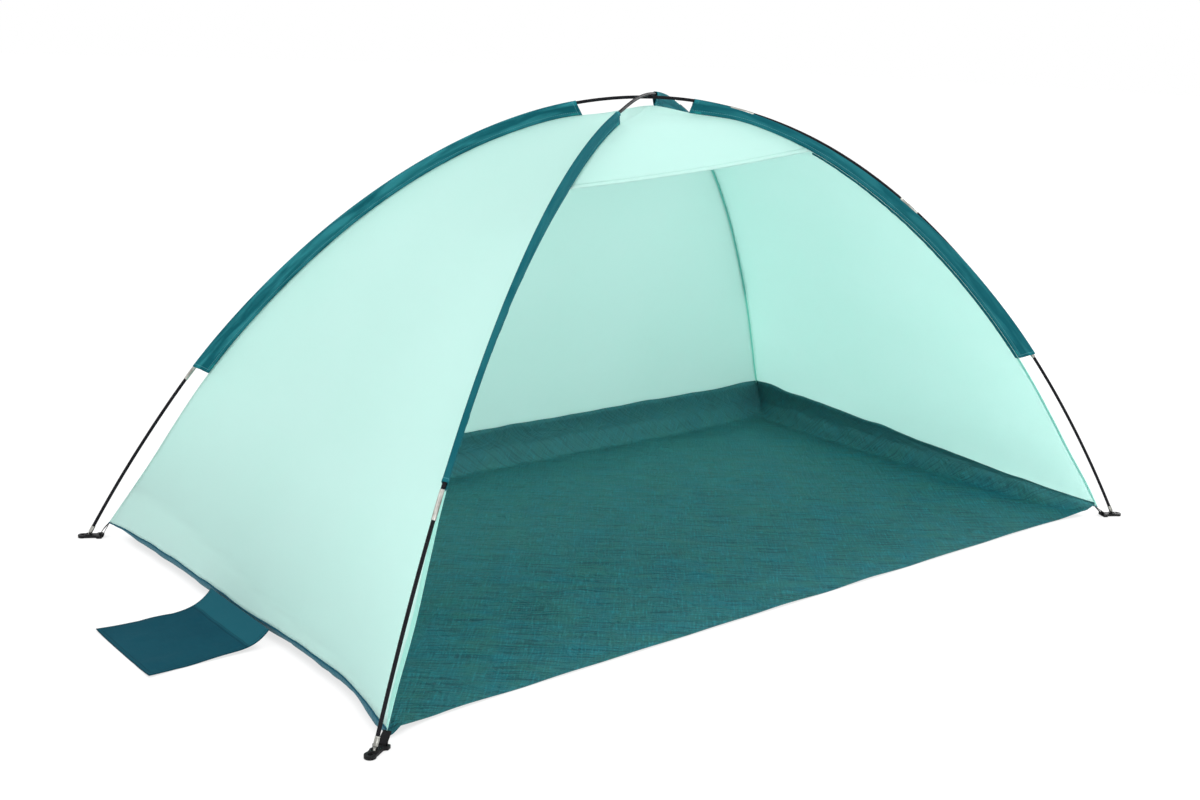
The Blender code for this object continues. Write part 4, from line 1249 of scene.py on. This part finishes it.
def slabMesh(points, low, high):
    # A flat outline pulled up into a slab
    slab = bmesh.new()
    face = slab.faces.new([slab.verts.new((x, y, low)) for x, y in points])
    pulled = bmesh.ops.extrude_face_region(slab, geom=[face])
    raised = [part for part in pulled["geom"] if isinstance(part, bmesh.types.BMVert)]
    bmesh.ops.translate(slab, verts=raised, vec=(0, 0, high - low))
    bmesh.ops.recalc_face_normals(slab, faces=slab.faces)
    return meshFrom("slab", slab)


def boxOutline(lowX, highX, halfY):
    return [(lowX, -halfY), (highX, -halfY), (highX, halfY), (lowX, halfY)]


def coneMesh(lowRadius, highRadius, low, high):
    cone = bmesh.new()
    bmesh.ops.create_cone(
        cone, cap_ends=True, segments=48, radius1=lowRadius, radius2=highRadius, depth=high - low,
        matrix=Matrix.Translation((0, 0, (low + high) / 2)))
    return meshFrom("cone", cone)


def footMesh():
    # Ring round the peg hole, narrow neck, cup for the pole's nose, and the bar for the webbing
    s = footSizes
    bar, curve, hole = s["barReach"], s["cheekRadius"], s["holeReach"]
    ring, halfBar = s["holeRadius"] + s["ringWall"], s["slotWidth"] / 2 + s["cheek"]
    shoulder = -bar + s["barDepth"] + s["slotDepth"] + s["shoulder"]
    half = arcPoints(hole, 0, ring, 0, 122, 18)
    half += [(0.003, s["neck"] / 2 + 0.0002), (0, s["neck"] / 2), (shoulder + curve, s["neck"] / 2)]
    half += arcPoints(shoulder - curve, halfBar - curve, curve, 0, 90, 6)
    half += arcPoints(-bar + curve, halfBar - curve, curve, 90, 180, 6)
    slotStart, halfSlot = -bar + s["barDepth"], s["slotWidth"] / 2
    boss = s["mouthRadius"] + s["bossWall"]
    spread = (s["mouthRadius"] - s["cupRadius"]) / (s["bossHeight"] - s["cupFloor"])
    slot = boxOutline(slotStart, slotStart + s["slotDepth"], halfSlot)
    relief = boxOutline(-0.04, slotStart + s["slotDepth"] / 2, halfSlot - 0.0004)
    shapes = [
        ("UNION", coneMesh(boss + 0.0004, boss, 0.0003, s["bossHeight"])),
        ("DIFFERENCE", coneMesh(
            s["cupRadius"], s["mouthRadius"] + spread * 0.004, s["cupFloor"], s["bossHeight"] + 0.004)),
        ("DIFFERENCE", slabMesh(slot, -0.004, 0.012)),
        ("DIFFERENCE", slabMesh(arcPoints(hole, 0, s["holeRadius"], 0, 360, 40)[:-1], -0.004, 0.012)),
        ("DIFFERENCE", slabMesh(relief, -0.004, s["relief"])),
    ]
    plate = linked("foot_plate", slabMesh(half + [(x, -y) for x, y in reversed(half[1:])], 0, s["height"]))
    cutters = []
    for operation, mesh in shapes:
        cutters.append(linked("foot_cutter", mesh))
        change = plate.modifiers.new("shape", "BOOLEAN")
        change.object, change.operation, change.solver = cutters[-1], operation, "EXACT"
    soft = plate.modifiers.new("soft edges", "BEVEL")
    soft.width, soft.segments, soft.limit_method, soft.angle_limit = s["bevel"], 2, "ANGLE", math.radians(40)
    soft.harden_normals = False
    bpy.context.view_layer.update()
    made = bpy.data.meshes.new_from_object(plate.evaluated_get(bpy.context.evaluated_depsgraph_get()))
    for item in [plate, *cutters]:
        bpy.data.objects.remove(item)
    uvLayer = made.uv_layers.get("cloth") or made.uv_layers.new(name="cloth")
    for loop in made.loops:
        x, y, z = made.vertices[loop.vertex_index].co
        uvLayer.data[loop.index].uv = (x + z * 0.5, y + z * 0.3)
    made.shade_smooth()
    made.set_sharp_from_angle(angle=math.radians(30))
    return made


def loopPath(height):
    # Round the foot's bar and up to the tent's corner
    thin, bar, plate = loopSizes["cloth"] / 2, footSizes["barReach"], footSizes["height"]
    bend = loopSizes["slack"] + thin
    outer, inner = -bar - bend, -bar + footSizes["barDepth"] + bend
    low, top = thin + 0.0003, plate + bend
    tipX = -tentSizes["footSetback"] - math.hypot(0.0018, 0.0018) + 0.0004 + thin
    tipZ = height - 0.0004 - thin
    mid = bend * (1 - math.sin(math.pi / 4))
    return [
        (inner - bend, low), (inner - mid, low + mid), (inner, low + bend), (inner, plate),
        (inner - bend / 2, top), ((inner + tipX) / 2 + 0.001, (top + tipZ) / 2), (tipX + 0.001, tipZ - 0.001),
        (tipX, tipZ), (tipX - 0.0005, tipZ - 0.0015), ((outer + tipX) / 2, (top + tipZ) / 2 - 0.001),
        (outer - thin, top), (outer, low + bend), (outer + mid, low + mid), (outer + bend, low),
    ]


def closedLine(points, steps):
    # Even steps along a smooth closed curve, and its length
    fine, count = [], len(points)
    for number in range(count):
        before, start, end, after = (Vector(points[(number + shift) % count]) for shift in (-1, 0, 1, 2))
        leaving, arriving = (end - before) / 2, (after - start) / 2
        fine += [hermite(step / 10, start, end, leaving, arriving) for step in range(10)]
    fine.append(fine[0])
    run = np.concatenate([[0], np.cumsum([(b - a).length for a, b in zip(fine, fine[1:])])])
    wanted = [run[-1] * step / steps for step in range(steps)]
    xs, ys = (np.interp(wanted, run, [point[axis] for point in fine]) for axis in (0, 1))
    return [(float(x), float(y)) for x, y in zip(xs, ys)], float(run[-1])


def addFoot(corner):
    seat = upright(corner, onPole(poleOf[corner], 0))
    turn = Matrix.Translation((seat.x, seat.y, 0)) @ Matrix.Rotation(math.atan2(seat.y, seat.x), 4, "Z")
    mesh = sharedFoot.copy()
    mesh.transform(turn)
    foot = corner + "_foot"
    addPiece(foot + "_moulding", mesh, footPlastic, foot, [foot])
    places, length = closedLine(loopPath(cornerHeight(corners[corner][1])), loopSizes["points"])
    name, width, loop = corner + "_webbing", loopSizes["width"], [corner + "_webbing_loop"]

    def place(column, row):
        x, z = places[row % len(places)]
        return turn @ Vector((x, width * (column / 4 - 1 / 2), z))

    mesh, area = clothMesh(name, 4, len(places), place, size=(width, length), closed=True)
    return addPiece(name, mesh, webbingBlack, "tent", loop, loopSizes["cloth"]), length, area


sharedFoot = footMesh()
loopItems = [addFoot(corner) for corner in corners]
print("feet and loops ready")

# What each sheet was cut from

sewnOn = {
    "left_wall_cloth": ("front_left_hem", "left_wall_binding"),
    "right_wall_cloth": ("front_right_hem", "right_wall_binding"),
    "back_wall_cloth": ("back_wall_binding", "back_left_allowance", "back_right_allowance"),
    "visor_cloth": ("visor_hem",),
    "front_left_sleeve_cloth": ("front_left_allowance",),
    "front_right_sleeve_cloth": ("front_right_allowance",),
}


def sewn(item):
    return [bpy.data.objects[name] for name in sewnOn.get(item.name, ())]


cuts = [(item, (width + 0.04, 1.62), area) for item, width, area in canopyPieces]
for item, flat, area in [*cuts, (visorItem, (0.80, 0.28), visorArea)]:
    sewn(item)
for item, area, length in sleeveItems:
    sewn(item)

# Stage: floor, light and camera

stageSizes = {
    "ground": -0.0006, "reach": 40.0, "floorColour": 0.86, "seenColour": 0.16, "seenGlow": 0.90,
    "contact": 0.018, "contactShare": 1.5, "contactDark": 0.20, "skyLevel": 1.02, "lightsLookAt": (0, 0, 0.3),
    "softboxes": {  # energy, size, place
        "key": (40.0, 3.0, (-2.8, 0.6, 3.9)),
        "fill": (44.0, 2.2, (-0.9, -4.4, 1.6)),
        "back": (110.0, 2.6, (3.9, 0.4, 2.2)),
    },
    "cameraPlace": (-2.0774, -2.3415, 1.0835), "azimuth": 40.025, "down": 14.168, "roll": 2.2006,
    "lens": 43.112,
}


def seenRays(tree):
    path = node(tree, "ShaderNodeLightPath").outputs
    direct = calc(tree, "MAXIMUM", path["Is Camera Ray"], path["Is Glossy Ray"])
    return calc(tree, "MAXIMUM", direct, path["Is Transmission Ray"])


def addGround():
    plane = bmesh.new()
    bmesh.ops.create_grid(plane, x_segments=1, y_segments=1, size=stageSizes["reach"])
    bmesh.ops.translate(plane, verts=plane.verts, vec=(0, 0, stageSizes["ground"]))
    ground = linked("studio_floor", meshFrom("studio_floor", plane))
    material, tree, shader = newMaterial("studioFloor")
    seen = seenRays(tree)
    grey = [(stageSizes[name],) * 3 for name in ("floorColour", "seenColour")]
    tree.links.new(blendColour(tree, seen, *grey), shader.inputs["Base Color"])
    reach, share, dark = (stageSizes[name] for name in ("contact", "contactShare", "contactDark"))
    # Painted contact shadow: ambient occlusion near the tent dims the floor's seen glow
    near = node(tree, "ShaderNodeAmbientOcclusion", {"Distance": reach}, samples=12).outputs["AO"]
    near = ramp(tree, ramp(tree, near, share, 1 - share), dark, 1 - dark, False)
    glow = times(tree, times(tree, seen, near), stageSizes["seenGlow"])
    tree.links.new(glow, shader.inputs["Emission Strength"])
    shader.inputs["Emission Color"].default_value = (1.0, 1.0, 1.0, 1.0)
    shader.inputs["Roughness"].default_value = 1.0
    shader.inputs["Specular IOR Level"].default_value = 0.0
    ground.data.materials.append(material)


def addLights():
    world = bpy.data.worlds.new("studio")
    bpy.context.scene.world = world
    world.use_nodes = True
    tree, sky = world.node_tree, stageSizes["skyLevel"]
    background = tree.nodes["Background"].inputs
    background["Color"].default_value = (1, 1, 1, 1)
    tree.links.new(ramp(tree, seenRays(tree), 1 - sky, sky, False), background["Strength"])
    for name, (energy, size, place) in stageSizes["softboxes"].items():
        light = bpy.data.lights.new(name + "_softbox", "AREA")
        light.shape, light.size, light.energy = "SQUARE", size, energy
        lamp = linked(name + "_softbox", light)
        lamp.location = place
        aim = Vector(stageSizes["lightsLookAt"]) - lamp.location
        lamp.rotation_euler = aim.to_track_quat("-Z", "Y").to_euler()


def addCamera():
    azimuth, down, roll = (math.radians(stageSizes[name]) for name in ("azimuth", "down", "roll"))
    ahead = Vector((math.sin(azimuth) * math.cos(down), math.cos(azimuth) * math.cos(down), -math.sin(down)))
    right = Vector((math.cos(azimuth), -math.sin(azimuth), 0))
    up = right.cross(ahead)
    turned = right * math.cos(roll) + up * math.sin(roll)
    above = -right * math.sin(roll) + up * math.cos(roll)
    data = bpy.data.cameras.new("photograph_view")
    data.lens, data.sensor_width, data.sensor_fit = stageSizes["lens"], 36.0, "HORIZONTAL"
    data.clip_end = 60.0
    camera = linked("photograph_view", data)
    turn = Matrix((turned, above, -ahead)).transposed().to_4x4()
    camera.matrix_world = Matrix.Translation(stageSizes["cameraPlace"]) @ turn
    bpy.context.scene.camera = camera


addGround()
addLights()
addCamera()
bpy.context.scene.view_settings.view_transform = "Standard"
print("stage ready")

bpy.context.view_layer.update()
